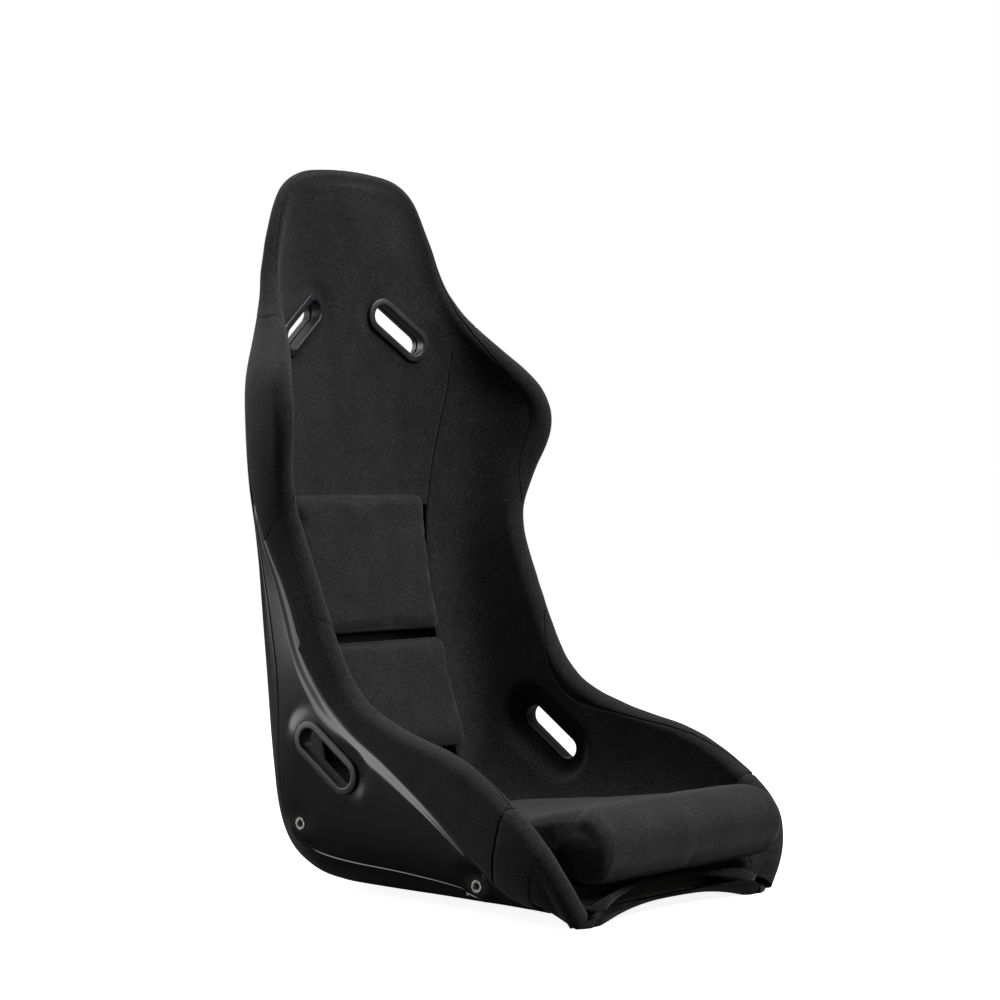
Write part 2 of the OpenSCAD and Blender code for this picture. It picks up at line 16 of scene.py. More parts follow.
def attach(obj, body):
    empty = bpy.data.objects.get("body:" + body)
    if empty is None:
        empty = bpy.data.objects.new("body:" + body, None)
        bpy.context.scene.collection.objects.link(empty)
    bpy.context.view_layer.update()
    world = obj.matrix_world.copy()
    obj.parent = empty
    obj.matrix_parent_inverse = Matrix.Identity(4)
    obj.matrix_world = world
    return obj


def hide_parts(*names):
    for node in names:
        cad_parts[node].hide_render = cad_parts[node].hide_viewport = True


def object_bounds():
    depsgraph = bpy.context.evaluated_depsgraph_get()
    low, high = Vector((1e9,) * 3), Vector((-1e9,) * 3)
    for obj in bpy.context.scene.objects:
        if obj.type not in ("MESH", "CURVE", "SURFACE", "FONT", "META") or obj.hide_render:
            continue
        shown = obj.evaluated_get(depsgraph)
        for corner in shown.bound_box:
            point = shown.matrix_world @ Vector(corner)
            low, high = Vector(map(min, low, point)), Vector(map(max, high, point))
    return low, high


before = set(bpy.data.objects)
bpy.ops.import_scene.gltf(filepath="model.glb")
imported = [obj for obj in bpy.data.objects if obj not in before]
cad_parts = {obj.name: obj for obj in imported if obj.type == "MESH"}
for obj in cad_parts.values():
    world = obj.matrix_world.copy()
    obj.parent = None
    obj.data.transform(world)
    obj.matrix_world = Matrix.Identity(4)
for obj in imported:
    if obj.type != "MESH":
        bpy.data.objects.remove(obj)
cad_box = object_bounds()
print("CAD box", [[round(c, 4) for c in corner] for corner in cad_box])

# %% [markdown]
# ## The seat's surface
# A bucket seat is easiest to describe as a row of stations, from the front edge of the pan, over the pan
# and up the back to the crown of the headrest. Each station gives the centre of the shell and its rim,
# and a curve spans the two. The list is short and its numbers are round, as on a drawing, so smooth
# curves come from the spline and not from more points. A little averaging along the seat keeps the gloss
# shell's reflections free of kinks.

# %% stations, in millimetres
# centre y, centre z, rim x, rim y, rim z, wall turn, padding, outer fullness, inner fullness,
# rim roll radius, direction that the rim points in
STATIONS = np.array([
    [-250, 13, 182, -247, 10, 28, 26, .80, .80, 14.5, 0],
    [-232, 8, 211, -243, 50, 66, 30, .86, .80, 14.5, 12],
    [-180, 3, 231, -217, 101, 90, 34, .88, .80, 14.5, 42],
    [-100, 0.5, 228, -124, 166, 90, 34, .90, .80, 14.5, 72],
    [0, 0, 217, -24, 194, 90, 34, .90, .80, 14.5, 80],
    [98, 0.5, 209, 46, 223, 90, 38, .91, .80, 14.5, 76],
    [175, 5, 206, 84, 259, 90, 48, .92, .80, 14.5, 72],
    [219, 36, 206, 107, 300, 90, 60, .92, .84, 14.5, 70],
    [233, 108, 206, 126, 344, 90, 60, .90, .88, 14.5, 68],
    [243, 198, 206, 143, 385, 90, 48, .87, .88, 14.5, 66],
    [253, 298, 208, 158, 424, 90, 32, .83, .88, 14.5, 60],
    [259, 400, 216, 167, 466, 88, 20, .80, .86, 14.5, 40],
    [270, 480, 232, 157, 518, 84, 17, .77, .78, 14.5, 20],
    [279, 560, 245, 142, 568, 80, 20, .75, .70, 14.5, 4],
    [286, 618, 237, 153, 612, 80, 23, .74, .64, 14.5, -4],
    [291, 665, 205, 186, 655, 80, 26, .74, .60, 13.5, -8],
    [292, 705, 176, 223, 698, 72, 28, .72, .58, 12.5, -8],
    [289, 745, 158, 247, 742, 54, 28, .55, .55, 11.5, 0],
    [284, 785, 144, 255, 787, 40, 28, .45, .50, 10.5, 0],
    [280, 822, 128, 260, 826, 30, 27, .45, .50, 10, 0],
    [277, 850, 112, 262, 853, 20, 25, .45, .50, 10, 0],
    [275, 862, 90, 263, 868, 10, 23, .45, .50, 10, 0],
    [274, 867, 58, 264, 876, 5, 22, .45, .50, 10, 0],
    [274, 869, 0, 264, 879, 0, 21, .45, .50, 10, 0]])
LAST = len(STATIONS) - 1
RIM_X = 2
# Where the back moulding ends, where the wrapped fabric ends outside, where the centre panel is sewn to
# the side panels inside, and where the side panels are sewn to the rim panels
SEAM = np.array([.40, .42, .46, .54, .56, .55, .57, .66, .78, .80, .79, .74, .66, .62, .62, .64, .66]
                + [.68] * 7)
WRAP = np.array([.05, .08, .58, .80, .92, .95, .95, .94, .92, .91, .88, .80, .70, .66, .66, .68, .70]
                + [.72] * 7)
STITCH = np.array([.50] * 6 + [.42, .34, .30, .30, .30, .30, .34, .40, .49, .64] + [1] * 8)
RIMSEAM = np.array([1.75, 1.75, 1.70, 1.30, 1.09, .98, .99, 1.24, 1.60, 1.60, 1.60, 1.58, .99, .96, .98,
                    1.16] + [1.3] * 8)
print("stations:", LAST + 1)


# %% curves through the stations
def unit(vectors):
    return vectors / np.maximum(np.linalg.norm(vectors, axis=-1, keepdims=True), 1e-9)


def ramp(t):
    """0 before 0, 1 after 1, and an even S between."""
    c = np.clip(t, 0, 1)
    return c * c * (3 - 2 * c)


def mix(a, b, t):
    return a * (1 - t) + b * t


def through(table, v):
    """The spline through a table. It carries on evenly before the front and mirrored past the crown."""
    v = np.asarray(v, float)
    inside = np.clip(np.where(v > LAST, 2 * LAST - v, np.abs(v)), 0, LAST)
    i = np.minimum(np.floor(inside).astype(int), LAST - 1)
    t = inside - i
    before, after = np.maximum(i - 1, 0), np.minimum(i + 2, LAST)
    extra = table.ndim > 1
    t = t[..., None] if extra else t
    b, c = table[i], table[i + 1]
    a = np.where((i > 0)[..., None] if extra else i > 0, table[before], 2 * b - c)
    d = np.where((i < LAST - 1)[..., None] if extra else i < LAST - 1, table[after], b)
    square, cube = (2 * a - 5 * b + 4 * c - d) * t ** 2, (3 * b - a - 3 * c + d) * t ** 3
    value = 0.5 * (2 * b + (c - a) * t + square + cube)
    front = (v < 0)[..., None] if extra else v < 0
    value = np.where(front, 2 * table[0] - value, value)
    if extra:
        value[..., RIM_X] = np.where(v > LAST, -value[..., RIM_X], value[..., RIM_X])
    return value


AVERAGING = 0.22  # of the way from one station to the next
TAPS = np.linspace(-2.5, 2.5, 11)


def even(table, v):
    """The table's value at v, averaged a little along the seat."""
    weights = np.exp(-TAPS ** 2 / 2)
    weights /= weights.sum()
    return sum(w * through(table, np.asarray(v, float) + tap * AVERAGING) for w, tap in zip(weights, TAPS))


# %% [markdown]
# ## From a station to points
# At each station the outer skin is a Bezier curve from the centre to the rim, the trimmed inside is a
# second one, and the rim is a half round between them. A point is then named by how far along the seat it
# lies, how far across, and how deep below the skin.

# %% one station's frame, for many stations at once
def sections(v):
    s = even(STATIONS, v)
    step = 1e-3
    ahead, behind = even(STATIONS, v + step), even(STATIONS, v - step)
    flat = np.zeros(len(v))
    sideways = np.stack([flat, ahead[:, 0] - behind[:, 0], ahead[:, 1] - behind[:, 1]], -1)
    sideways = unit(sideways)
    head = ramp((v - 15) / 3)[:, None]
    inward = np.stack([flat, -sideways[:, 2], sideways[:, 1]], -1)
    inward = unit(mix(inward, np.array([0, -1.0, 0]), head))
    centre = np.stack([flat, s[:, 0], s[:, 1]], -1)
    rim = s[:, 2:5]
    tangent = unit(ahead[:, 2:5] - behind[:, 2:5])
    rise = unit((rim - centre) * [0, 1, 1])
    turn, point = np.radians(s[:, 5:6]), np.radians(s[:, 10:11])
    crown = ramp((v - LAST + 4) / 4)[:, None]
    front = ramp(1 - v)[:, None]
    up = np.array([0, 0, 1.0])
    x_axis = np.array([1.0, 0, 0])
    handle = unit(mix(np.cos(turn) * x_axis + np.sin(turn) * rise, up, crown))
    tip = np.concatenate([np.cos(turn), -np.sin(turn) * np.cos(point), np.sin(turn) * np.sin(point)], -1)
    tip = unit(mix(unit(mix(tip, np.array([0, -1.0, 0]), front)), up, crown))
    over = unit(tip - tangent * (tip * tangent).sum(-1, keepdims=True))
    side = np.cross(over, tangent)
    aim = np.sin(turn) * x_axis - inward * np.cos(turn)
    out = unit(side * np.where((side * aim).sum(-1, keepdims=True) < 0, -1, 1))
    radius = s[:, 9:10]
    inner_centre = centre + inward * s[:, 6:7]
    end_out, end_in = rim + radius * out, rim - radius * out
    level = np.abs(handle[:, :1])
    flat_reach = level * 0.45 * rim[:, :1]
    reach_out = np.linalg.norm((rim - centre)[:, 1:], axis=-1, keepdims=True) * (1 - level) + flat_reach
    reach_in = np.linalg.norm((rim - inner_centre)[:, 1:], axis=-1, keepdims=True) * (1 - level) + flat_reach
    across = x_axis * rim[:, :1]
    outer = [centre, centre + across * s[:, 7:8], end_out - handle * reach_out * s[:, 7:8], end_out]
    inner = [inner_centre, inner_centre + across * s[:, 8:9], end_in - handle * reach_in * s[:, 8:9], end_in]
    return {"v": v, "outer": outer, "inner": inner, "rim": rim, "radius": radius, "out": out, "over": over}


def bezier(handles, t):
    p = [h[:, None, :] for h in handles]
    t = t[..., None]
    return (1 - t) ** 3 * p[0] + 3 * t * (1 - t) ** 2 * p[1] + 3 * t * t * (1 - t) * p[2] + t ** 3 * p[3]


# %% [markdown]
# ## Flat lands round the fittings
# A moulder leaves a flat land wherever a fitting is screwed or glued on, and a trimmed bezel presses the
# velour flat. So the skin is pulled onto each fitting's plane near it, and let go further out.

# %% planes of the fittings
SLOT_R = 13.5
FLANGE_R = 22.5
SHOULDER_LEN = 62
LAP_LEN = 66
SHOULDER_DEPTH = 18
LAP_DEPTH = 15


def plane(place, *turns):
    matrix = Matrix.Translation(place)
    for angle, axis in turns:
        matrix = matrix @ Matrix.Rotation(math.radians(angle), 4, axis)
    return np.array(matrix)


SHOULDER = plane((90, 256.5, 689), (-12, "Z"), (90, "X"), (-35, "Z"))
LAP = plane((220, 94, 170), (90, "Y"), (90, "Z"), (36, "Z"))
MOUNT_PITCH = 290
MOUNT_RISE = math.radians(9.2)
FRONT_MOUNT = np.array([218.2, -134, 40])
REAR_MOUNT = np.array([203.4, FRONT_MOUNT[1] + MOUNT_PITCH * math.cos(MOUNT_RISE),
                       FRONT_MOUNT[2] + MOUNT_PITCH * math.sin(MOUNT_RISE)])
MOUNTS = [plane(tuple(p), (90, "Y")) for p in (FRONT_MOUNT, REAR_MOUNT)]


def pull_to(points, surface, land, length, level, inside, outside, reach=26):
    """Moves points along a plane's normal, as far as the surface over them is off the plane's level."""
    place, axes = land[:3, 3], land[:3, :3]
    local = (surface - place) @ axes
    along_slot = np.clip(local[..., 0], -length / 2, length / 2)
    distance = np.hypot(local[..., 0] - along_slot, local[..., 1])
    share = (1 - ramp((distance - inside) / (outside - inside))) * (np.abs(local[..., 2] - level) < reach)
    return points + (share * (level - local[..., 2]))[..., None] * axes[:, 2]


def outer_skin(f, u, depth, face=0.0):
    """Points below the outer skin, u from the centre to the rim. The layer's outer face is at depth face."""
    skin, trim = bezier(f["outer"], u), bezier(f["inner"], u)
    inward = unit(trim - skin)
    face = np.broadcast_to(face, u.shape)
    points = skin + inward * np.broadcast_to(depth, u.shape)[..., None]
    near = skin + inward * face[..., None]
    points = pull_to(points, near, LAP, LAP_LEN, -face, FLANGE_R + 2, FLANGE_R + 22, 45)
    points = pull_to(points, near, SHOULDER, SHOULDER_LEN, np.minimum(face, JOGGLE) - SHOULDER_DEPTH,
                     FLANGE_R + 2, FLANGE_R + 22, 45)
    for land in MOUNTS:
        points = pull_to(points, skin, land, 0, 0, 10, 34)
    return points


def trim_skin(f, w, depth):
    """Points below the trim: w is 0 to 1 on the inside, to 2 round the rim and to 3 back down outside."""
    depth = np.broadcast_to(depth, w.shape)
    inside = np.clip(w, 0, 1)
    skin, trim = bezier(f["outer"], inside), bezier(f["inner"], inside)
    points = trim + unit(skin - trim) * depth[..., None]
    points = pull_to(points, trim, SHOULDER, SHOULDER_LEN, -0.4, FLANGE_R + 1, FLANGE_R + 22, 45)
    points = pull_to(points, trim, LAP, LAP_LEN, -LAP_DEPTH, FLANGE_R + 2, FLANGE_R + 22, 45)
    angle = ((np.clip(w, 1, 2) - 1) * math.pi)[..., None]
    radius = f["radius"][:, None, :] - depth[..., None]
    turned = f["over"][:, None] * np.sin(angle) - f["out"][:, None] * np.cos(angle)
    roll = f["rim"][:, None] + radius * turned
    back = outer_skin(f, np.clip(3 - w, 0, 1), depth)
    return np.where((w <= 1)[..., None], points, np.where((w < 2)[..., None], roll, back))


# %% [markdown]
# ## Turning two skins into one closed solid
# Every moulding, foam and panel is a slab between two skins. Building it as one closed mesh, with its
# walls round the edge, means it can be drilled, exported and printed.

# %% slab builder
MM = 0.001


def placed_object(name, data):
    made = bpy.data.objects.new(name, data)
    bpy.context.scene.collection.objects.link(made)
    return made


def smooth_shaded(mesh):
    mesh.polygons.foreach_set("use_smooth", [True] * len(mesh.polygons))


def face_outwards(mesh):
    fix = bmesh.new()
    fix.from_mesh(mesh)
    bmesh.ops.recalc_face_normals(fix, faces=fix.faces)
    fix.to_mesh(mesh)
    fix.free()


def finish_mesh(name, verts, faces, sharp=52, recalculate=False):
    """A smooth-shaded object whose edges stay sharp above an angle in degrees."""
    mesh = bpy.data.meshes.new(name)
    mesh.from_pydata([tuple(p) for p in verts], [], faces)
    mesh.validate()
    smooth_shaded(mesh)
    mesh.set_sharp_from_angle(angle=math.radians(sharp))
    if recalculate:
        face_outwards(mesh)
    return placed_object(name, mesh)


def baked(piece):
    """Applies a piece's modifiers and leaves it a plain mesh."""
    solid = bpy.data.meshes.new_from_object(piece.evaluated_get(bpy.context.evaluated_depsgraph_get()))
    piece.modifiers.clear()
    old, piece.data = piece.data, solid
    bpy.data.meshes.remove(old)


def slab(name, top, bottom, zipped=False, sharp=52):
    """A closed slab between two grids in millimetres. Zipped joins the last row to its own mirror image."""
    rows, cols = top.shape[:2]
    count = rows * cols
    ids = np.arange(2 * count).reshape(2, rows, cols)
    if zipped:
        half = cols // 2
        ids[:, -1, half + 1:] = ids[:, -1, :half][:, ::-1]
    faces = []
    for side in (0, 1):
        g = ids[side]
        quads = np.stack([g[:-1, :-1], g[1:, :-1], g[1:, 1:], g[:-1, 1:]], -1).reshape(-1, 4)
        faces.append(quads if side == 0 else quads[:, ::-1])
    t, b = ids
    faces.append(np.stack([t[0, :-1], t[0, 1:], b[0, 1:], b[0, :-1]], -1))
    if not zipped:
        faces.append(np.stack([t[-1, 1:], t[-1, :-1], b[-1, :-1], b[-1, 1:]], -1))
    faces.append(np.stack([t[1:, 0], t[:-1, 0], b[:-1, 0], b[1:, 0]], -1))
    faces.append(np.stack([t[:-1, -1], t[1:, -1], b[1:, -1], b[:-1, -1]], -1))
    faces = np.concatenate(faces)
    middle = (slice(rows // 3, rows // 3 + 2), slice(cols // 2, cols // 2 + 2))
    corner = top[middle]
    normal = np.cross(corner[1, 0] - corner[0, 0], corner[0, 1] - corner[0, 0])
    if (normal * (top[middle] - bottom[middle])[0, 0]).sum() < 0:
        faces = faces[:, ::-1]
    verts = np.concatenate([top.reshape(-1, 3), bottom.reshape(-1, 3)]) * MM
    clean = [[i for k, i in enumerate(f) if i != f[k - 1]] for f in faces.tolist()]
    return finish_mesh(name, verts, [f for f in clean if len(f) > 2], sharp)


def whole(half):
    """A row's points and, before them, their mirror images on the left."""
    left = half[:, :0:-1] * [-1, 1, 1]
    return np.concatenate([left, half], axis=1)


def mirrored(piece, name):
    """A left-hand copy, its faces turned back to point outwards."""
    mesh = piece.data.copy()
    mesh.name = name
    mesh.transform(Matrix.Scale(-1, 4, (1, 0, 0)))
    mesh.flip_normals()
    return placed_object(name, mesh)


# %% drilling
def prism(land, length, radius, low, high, round_points=24):
    """A slot-shaped bar on a fitting's plane, from low to high along its normal."""
    outline = []
    for end in (1, -1):
        for k in range(round_points + 1):
            a = math.pi * (k / round_points - 0.5)
            outline.append((end * (length / 2 + radius * math.cos(a)), end * radius * math.sin(a)))
    local = np.array([(x, y, z) for z in (low, high) for x, y in outline])
    points = local @ land[:3, :3].T + land[:3, 3]
    n = len(outline)
    faces = [[i, (i + 1) % n, n + (i + 1) % n, n + i] for i in range(n)]
    faces += [list(range(n))[::-1], list(range(n, 2 * n))]
    return points, faces


def drill(piece, bars):
    """Cuts bars out of a closed piece, and leaves it a plain mesh."""
    verts, faces = [], []
    for points, bar_faces in bars:
        faces += [[i + len(verts) for i in f] for f in bar_faces]
        verts += [tuple(p) for p in points * MM]
    mesh = bpy.data.meshes.new("drill")
    mesh.from_pydata(verts, [], faces)
    tool = placed_object("drill", mesh)
    face_outwards(mesh)
    cut = piece.modifiers.new("cut", "BOOLEAN")
    cut.operation, cut.object, cut.solver = "DIFFERENCE", tool, "EXACT"
    baked(piece)
    bpy.data.objects.remove(tool)
    bpy.data.meshes.remove(mesh)


def flipped(land):
    return np.diag([-1.0, 1, 1, 1]) @ land


def slot_bar(land, length, room):
    """A bar right through the seat at a belt slot, wider than the slot by room all round."""
    return prism(land, length, SLOT_R + room, -60, 30)


SHELL_ROOM, FOAM_ROOM = 2.6, 5
SHOULDERS = (SHOULDER, flipped(SHOULDER))
shoulder_bars = [slot_bar(m, SHOULDER_LEN, SHELL_ROOM) for m in SHOULDERS]
lap_bars = [slot_bar(m, LAP_LEN, SHELL_ROOM) for m in (LAP, flipped(LAP))]
mount_bars = [prism(m, 0.1, 6.4, -20, 6) for m in MOUNTS + [flipped(m) for m in MOUNTS]]
print("bars for", len(shoulder_bars + lap_bars + mount_bars), "holes")

# %% [markdown]
# ## Finishes
# Four finishes carry the seat: knitted velour with a short nap, gloss black gel coat over glass fibre,
# satin ABS plastic on the bezels, and zinc-plated steel. A nap scatters light back at grazing angles,
# which the shader's sheen does; gel coat is a dark base under a clear, slightly wavy surface.

# %% colour and node helpers
def linear(code):
    """An sRGB hex colour as the linear numbers that a shader takes."""
    parts = [int(code[i:i + 2], 16) / 255 for i in (0, 2, 4)]
    return (*[c / 12.92 if c <= 0.04045 else ((c + 0.055) / 1.055) ** 2.4 for c in parts], 1)


def tree_node(tree, kind, settings=None, **inputs):
    """Adds one node. An input is a number, a colour, or another node's output to link."""
    node = tree.nodes.new(kind)
    for key, value in (settings or {}).items():
        setattr(node, key, value)
    for key, value in inputs.items():
        socket = node.inputs[int(key[1:])] if key[1:].isdigit() else node.inputs[key.replace("_", " ")]
        if isinstance(value, bpy.types.NodeSocket):
            tree.links.new(value, socket)
        else:
            socket.default_value = value
    return node


def add_node(material, *given, **inputs):
    return tree_node(material.node_tree, *given, **inputs)


def new_material(name):
    material = bpy.data.materials.new(name)
    material.use_nodes = True
    material.node_tree.nodes.clear()
    return material


def shade(material, **inputs):
    """Ends a material with the one shader that the export reads."""
    shader = add_node(material, "ShaderNodeBsdfPrincipled", **inputs)
    add_node(material, "ShaderNodeOutputMaterial", Surface=shader.outputs["BSDF"])
    return shader


def noise(material, size_mm, detail=2.0, roughness=0.5, stretch=(1, 1, 1)):
    """Noise whose lumps are about size_mm across, on the object's own coordinates."""
    where = add_node(material, "ShaderNodeTexCoord").outputs["Object"]
    if stretch != (1, 1, 1):
        where = add_node(material, "ShaderNodeMapping", Vector=where, Scale=stretch).outputs["Vector"]
    return add_node(material, "ShaderNodeTexNoise", Vector=where, Scale=1 / (size_mm * MM), Detail=detail,
                    Roughness=roughness).outputs["Fac"]


def blend_colours(material, factor, low, high, start=0.35, stop=0.65):
    band = add_node(material, "ShaderNodeMapRange", Value=factor, From_Min=start, From_Max=stop)
    return add_node(material, "ShaderNodeMix", {"data_type": "RGBA"}, Factor=band.outputs["Result"],
                    _6=linear(low), _7=linear(high)).outputs[2]


def spread(material, factor, low, high):
    band = add_node(material, "ShaderNodeMapRange", Value=factor, To_Min=low, To_Max=high)
    return band.outputs["Result"]


def bump(material, height, depth_mm, strength=1.0, **under):
    """Bumps of a depth, on top of another bump's Normal where one is given."""
    return add_node(material, "ShaderNodeBump", Height=height, Distance=depth_mm * MM, Strength=strength,
                    **under).outputs["Normal"]


# %% the finishes
def velour(name, dark, light, sheen):
    """Warp-knit velour: a nap of fine tufts, drawn at 2.1 mm so that it shows, in hand-brushed patches."""
    m = new_material(name)
    tuft = noise(m, 2.1, 3, 0.62)
    patch = noise(m, 42, 2, 0.5, (1, 1, 0.7))
    knit = noise(m, 0.8, 1, 0.5)
    tone = blend_colours(m, tuft, dark, light, 0.36, 0.68)
    shades = {"data_type": "RGBA", "blend_type": "MULTIPLY"}
    dimmed = add_node(m, "ShaderNodeMix", shades, Factor=0.5, _6=tone,
                      _7=blend_colours(m, patch, "B9B9BB", "FFFFFF", stop=0.6)).outputs[2]
    normal = bump(m, tuft, 0.35, 0.55, Normal=bump(m, knit, 0.2, 0.4))
    shade(m, Base_Color=dimmed, Roughness=spread(m, tuft, 0.88, 0.98), Normal=normal, Sheen_Weight=sheen,
          Sheen_Roughness=0.55, Sheen_Tint=linear("C4C4C4"), Specular_IOR_Level=0.12)
    return m


def gel_coat():
    """Polished gel coat on glass fibre: the lay-up behind it shows as a faint 22 mm waviness."""
    m = new_material("polished_gel_coat")
    wave, haze = noise(m, 22, 1, 0.4), noise(m, 60, 3, 0.55)
    scuff = noise(m, 1.2, 2, 0.7, (1, 0.25, 1))
    rough = add_node(m, "ShaderNodeMath", {"operation": "ADD"}, _0=spread(m, haze, 0.13, 0.24),
                     _1=spread(m, scuff, -0.01, 0.03)).outputs[0]
    shade(m, Base_Color=blend_colours(m, haze, "060607", "0A0A0B"), Roughness=rough,
          Normal=bump(m, wave, 0.12, 0.5), IOR=1.54, Coat_Weight=0.25, Coat_Roughness=0.06)
    return m


def moulded_abs():
    """Injection-moulded ABS with a fine spark-eroded grain, which breaks a highlight into a soft band."""
    m = new_material("satin_moulded_abs")
    grain, wear = noise(m, 0.9, 2, 0.6), noise(m, 14, 3, 0.6)
    shade(m, Base_Color=blend_colours(m, wear, "1B1B1D", "242427"), Roughness=spread(m, wear, 0.34, 0.46),
          Normal=bump(m, grain, 0.06, 0.35), IOR=1.53)
    return m


def zinc_plate():
    """Zinc-plated turned steel, a little dulled, with turning marks round it."""
    m = new_material("zinc_plated_steel")
    dull, mark = noise(m, 3.5, 3, 0.6), noise(m, 0.7, 2, 0.5, (3, 1, 1))
    shade(m, Base_Color=blend_colours(m, dull, "8F8E8A", "B9B8B2"), Metallic=1.0,
          Roughness=spread(m, dull, 0.26, 0.44), Normal=bump(m, mark, 0.05, 0.4))
    return m


def cut_foam():
    """Open-cell polyurethane foam: pores of about 1.5 mm, matt and soft-edged."""
    m = new_material("open_cell_foam")
    where = add_node(m, "ShaderNodeTexCoord").outputs["Object"]
    cells = add_node(m, "ShaderNodeTexVoronoi", Vector=where, Scale=1 / (1.5 * MM)).outputs["Distance"]
    shade(m, Base_Color=blend_colours(m, cells, "2C2C2A", "4B4B48", 0.1, 0.7), Roughness=0.95,
          Normal=bump(m, cells, 0.5, 0.8))
    return m


def hook_tape():
    """Woven nylon hook tape: rows of stiff hooks 1.4 mm apart."""
    m = new_material("nylon_hook_tape")
    where = add_node(m, "ShaderNodeTexCoord").outputs["Object"]
    rows = add_node(m, "ShaderNodeTexWave", Vector=where, Scale=1 / (1.4 * MM * 2 * math.pi)).outputs["Fac"]
    shade(m, Base_Color=blend_colours(m, rows, "0B0B0C", "1D1D1F"), Roughness=0.6,
          Normal=bump(m, rows, 0.5, 0.7))
    return m


def bonding_paste():
    """Filled epoxy paste, squeezed out in a bead: dark, with a dull skin."""
    m = new_material("epoxy_bonding_paste")
    lumps = noise(m, 5, 3, 0.6)
    shade(m, Base_Color=blend_colours(m, lumps, "101010", "1A1A19"), Roughness=spread(m, lumps, 0.5, 0.8),
          Normal=bump(m, lumps, 0.4, 0.5))
    return m


VELOUR = velour("black_velour", "0C0C0C", "303030", 0.2)
PAD_VELOUR = velour("black_pad_velour", "0D0D0D", "313131", 0.2)
GEL = gel_coat()
ABS = moulded_abs()
ZINC = zinc_plate()
FOAM = cut_foam()
HOOK = hook_tape()
PASTE = bonding_paste()
THREAD = velour("bonded_polyester_thread", "0A0A0B", "18181A", 0.15)
print("finishes:", [m.name for m in bpy.data.materials if m.node_tree])


def dress(piece, material, slot_name, *nodes):
    """Gives a piece its finish and its body, and hides the CAD nodes that it stands for."""
    piece.data.materials.clear()
    piece.data.materials.append(material)
    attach(piece, "root")
    if nodes:
        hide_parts(*nodes)
    return piece


def both_sides(piece, node, material=VELOUR, slot_name="black_velour"):
    """Dresses a right-hand piece and its mirror image, and hides the pair's two CAD nodes."""
    left = mirrored(piece, piece.name.replace("_right", "_left"))
    for part, side in ((left, "_left"), (piece, "_right")):
        dress(part, material, slot_name, node + side)


# %% [markdown]
# ## The glass-fibre shells
# The tub is the inner moulding. Its side walls are the gloss outside of the seat. Behind the back and
# under the pan it is sunk a few millimetres, and a second moulding is bonded into that joggle, so a dark
# joint line runs down the side and along the bottom. The edges on both sides of that line are rounded.

# %% the tub
WALL = 3.0
JOGGLE = 4.4
COVER = 2.0
GAP = 0.4
BARE_FROM = 1.6
BARE_TO = 11.7


def rows_between(low, high, step=0.07, extra=()):
    count = max(int(math.ceil((high - low) / step)), 2)
    return np.unique(np.round(np.concatenate([np.linspace(low, high, count + 1), list(extra)]), 4))


def edge_round(distance, radius):
    """How far an edge of this radius has dropped at a distance from its end, both in millimetres."""
    t = np.clip(1 - distance / radius, 0, 1)
    return radius * (1 - np.sqrt(np.maximum(1 - t * t, 0)))


def tub_depth(f, u, seam, wrap):
    """Depth of the tub below the outer skin: joggled behind the back moulding, sunk under fabric."""
    v = f["v"][:, None]
    chord = np.linalg.norm(bezier(f["outer"], u) - bezier(f["inner"], u), axis=-1)
    sunk = np.maximum(JOGGLE, chord - 9 - WALL)
    behind = mix(sunk, JOGGLE, ramp(u / seam))
    width = np.linalg.norm(f["rim"][:, 1:] - f["outer"][0][:, 1:], axis=-1)[:, None] + f["rim"][:, :1]
    step = edge_round((u - seam) * width - 0.6, 2.2)
    under = (COVER + GAP) * ramp((u - wrap + 0.012) / 0.012)
    flush = ramp((BARE_TO - v) / 0.5)
    bare = mix(np.full_like(u, COVER + GAP), np.maximum(step, under), flush)
    depth = np.where(u < seam, behind, bare)
    return np.where(v < BARE_FROM, COVER + GAP, depth)


def tub_columns(v):
    seam, wrap = even(SEAM, v)[:, None], even(WRAP, v)[:, None]
    wrap = np.maximum(wrap, seam + 0.03)
    behind = seam * np.array([[0, .15, .3, .42, .55, .66, .78, .88, .95, 1]])
    edge = seam + np.array([[.0005, .003, .007, .012, .018]])
    bare = mix(seam + 0.018, wrap - 0.012, np.linspace(0, 1, 26)[None, 1:])
    sunk = np.concatenate([wrap - 0.006, wrap, mix(wrap, 1, np.linspace(0, 1, 9)[None, 1:])], 1)
    u = np.maximum.accumulate(np.concatenate([behind, edge, bare, sunk], 1), axis=1)
    return np.minimum(u, 1), seam, wrap


def tub_skin(v, depth):
    f = sections(v)
    u, seam, wrap = tub_columns(v)
    face = tub_depth(f, u, seam, wrap)
    return whole(outer_skin(f, u, face + depth, face))


tub_rows = rows_between(0, LAST, 0.06, (BARE_FROM - 0.01, BARE_FROM + 0.01))
tub = slab("tub_moulding", tub_skin(tub_rows, 0), tub_skin(tub_rows, WALL), zipped=True)
drill(tub, shoulder_bars + lap_bars + mount_bars)
dress(tub, GEL, "gloss_black_grp", "shell_pan", "shell_inner_back", "shell_side_left", "shell_side_right",
      "shell_shoulder_left", "shell_shoulder_right")
print("tub faces", len(tub.data.polygons))


# %% the back and bottom moulding
def back_skin(v, depth):
    f = sections(v)
    end = even(SEAM, v)[:, None] - 0.003
    share = np.array([[0, .12, .25, .38, .5, .62, .73, .82, .89, .94, .97, .985, .993, .997, 1]])
    u = share * end
    width = np.linalg.norm(f["rim"][:, 1:] - f["outer"][0][:, 1:], axis=-1)[:, None] + f["rim"][:, :1]
    drop = edge_round((end - u) * width, 2.4) if depth == 0 else 0
    return whole(outer_skin(f, u, drop + depth))


back_rows = rows_between(BARE_FROM + 0.03, 20, 0.06)
back = slab("back_moulding", back_skin(back_rows, 0), back_skin(back_rows, WALL))
drill(back, shoulder_bars)
dress(back, GEL, "gloss_black_grp", "shell_back")
print("back moulding faces", len(back.data.polygons))


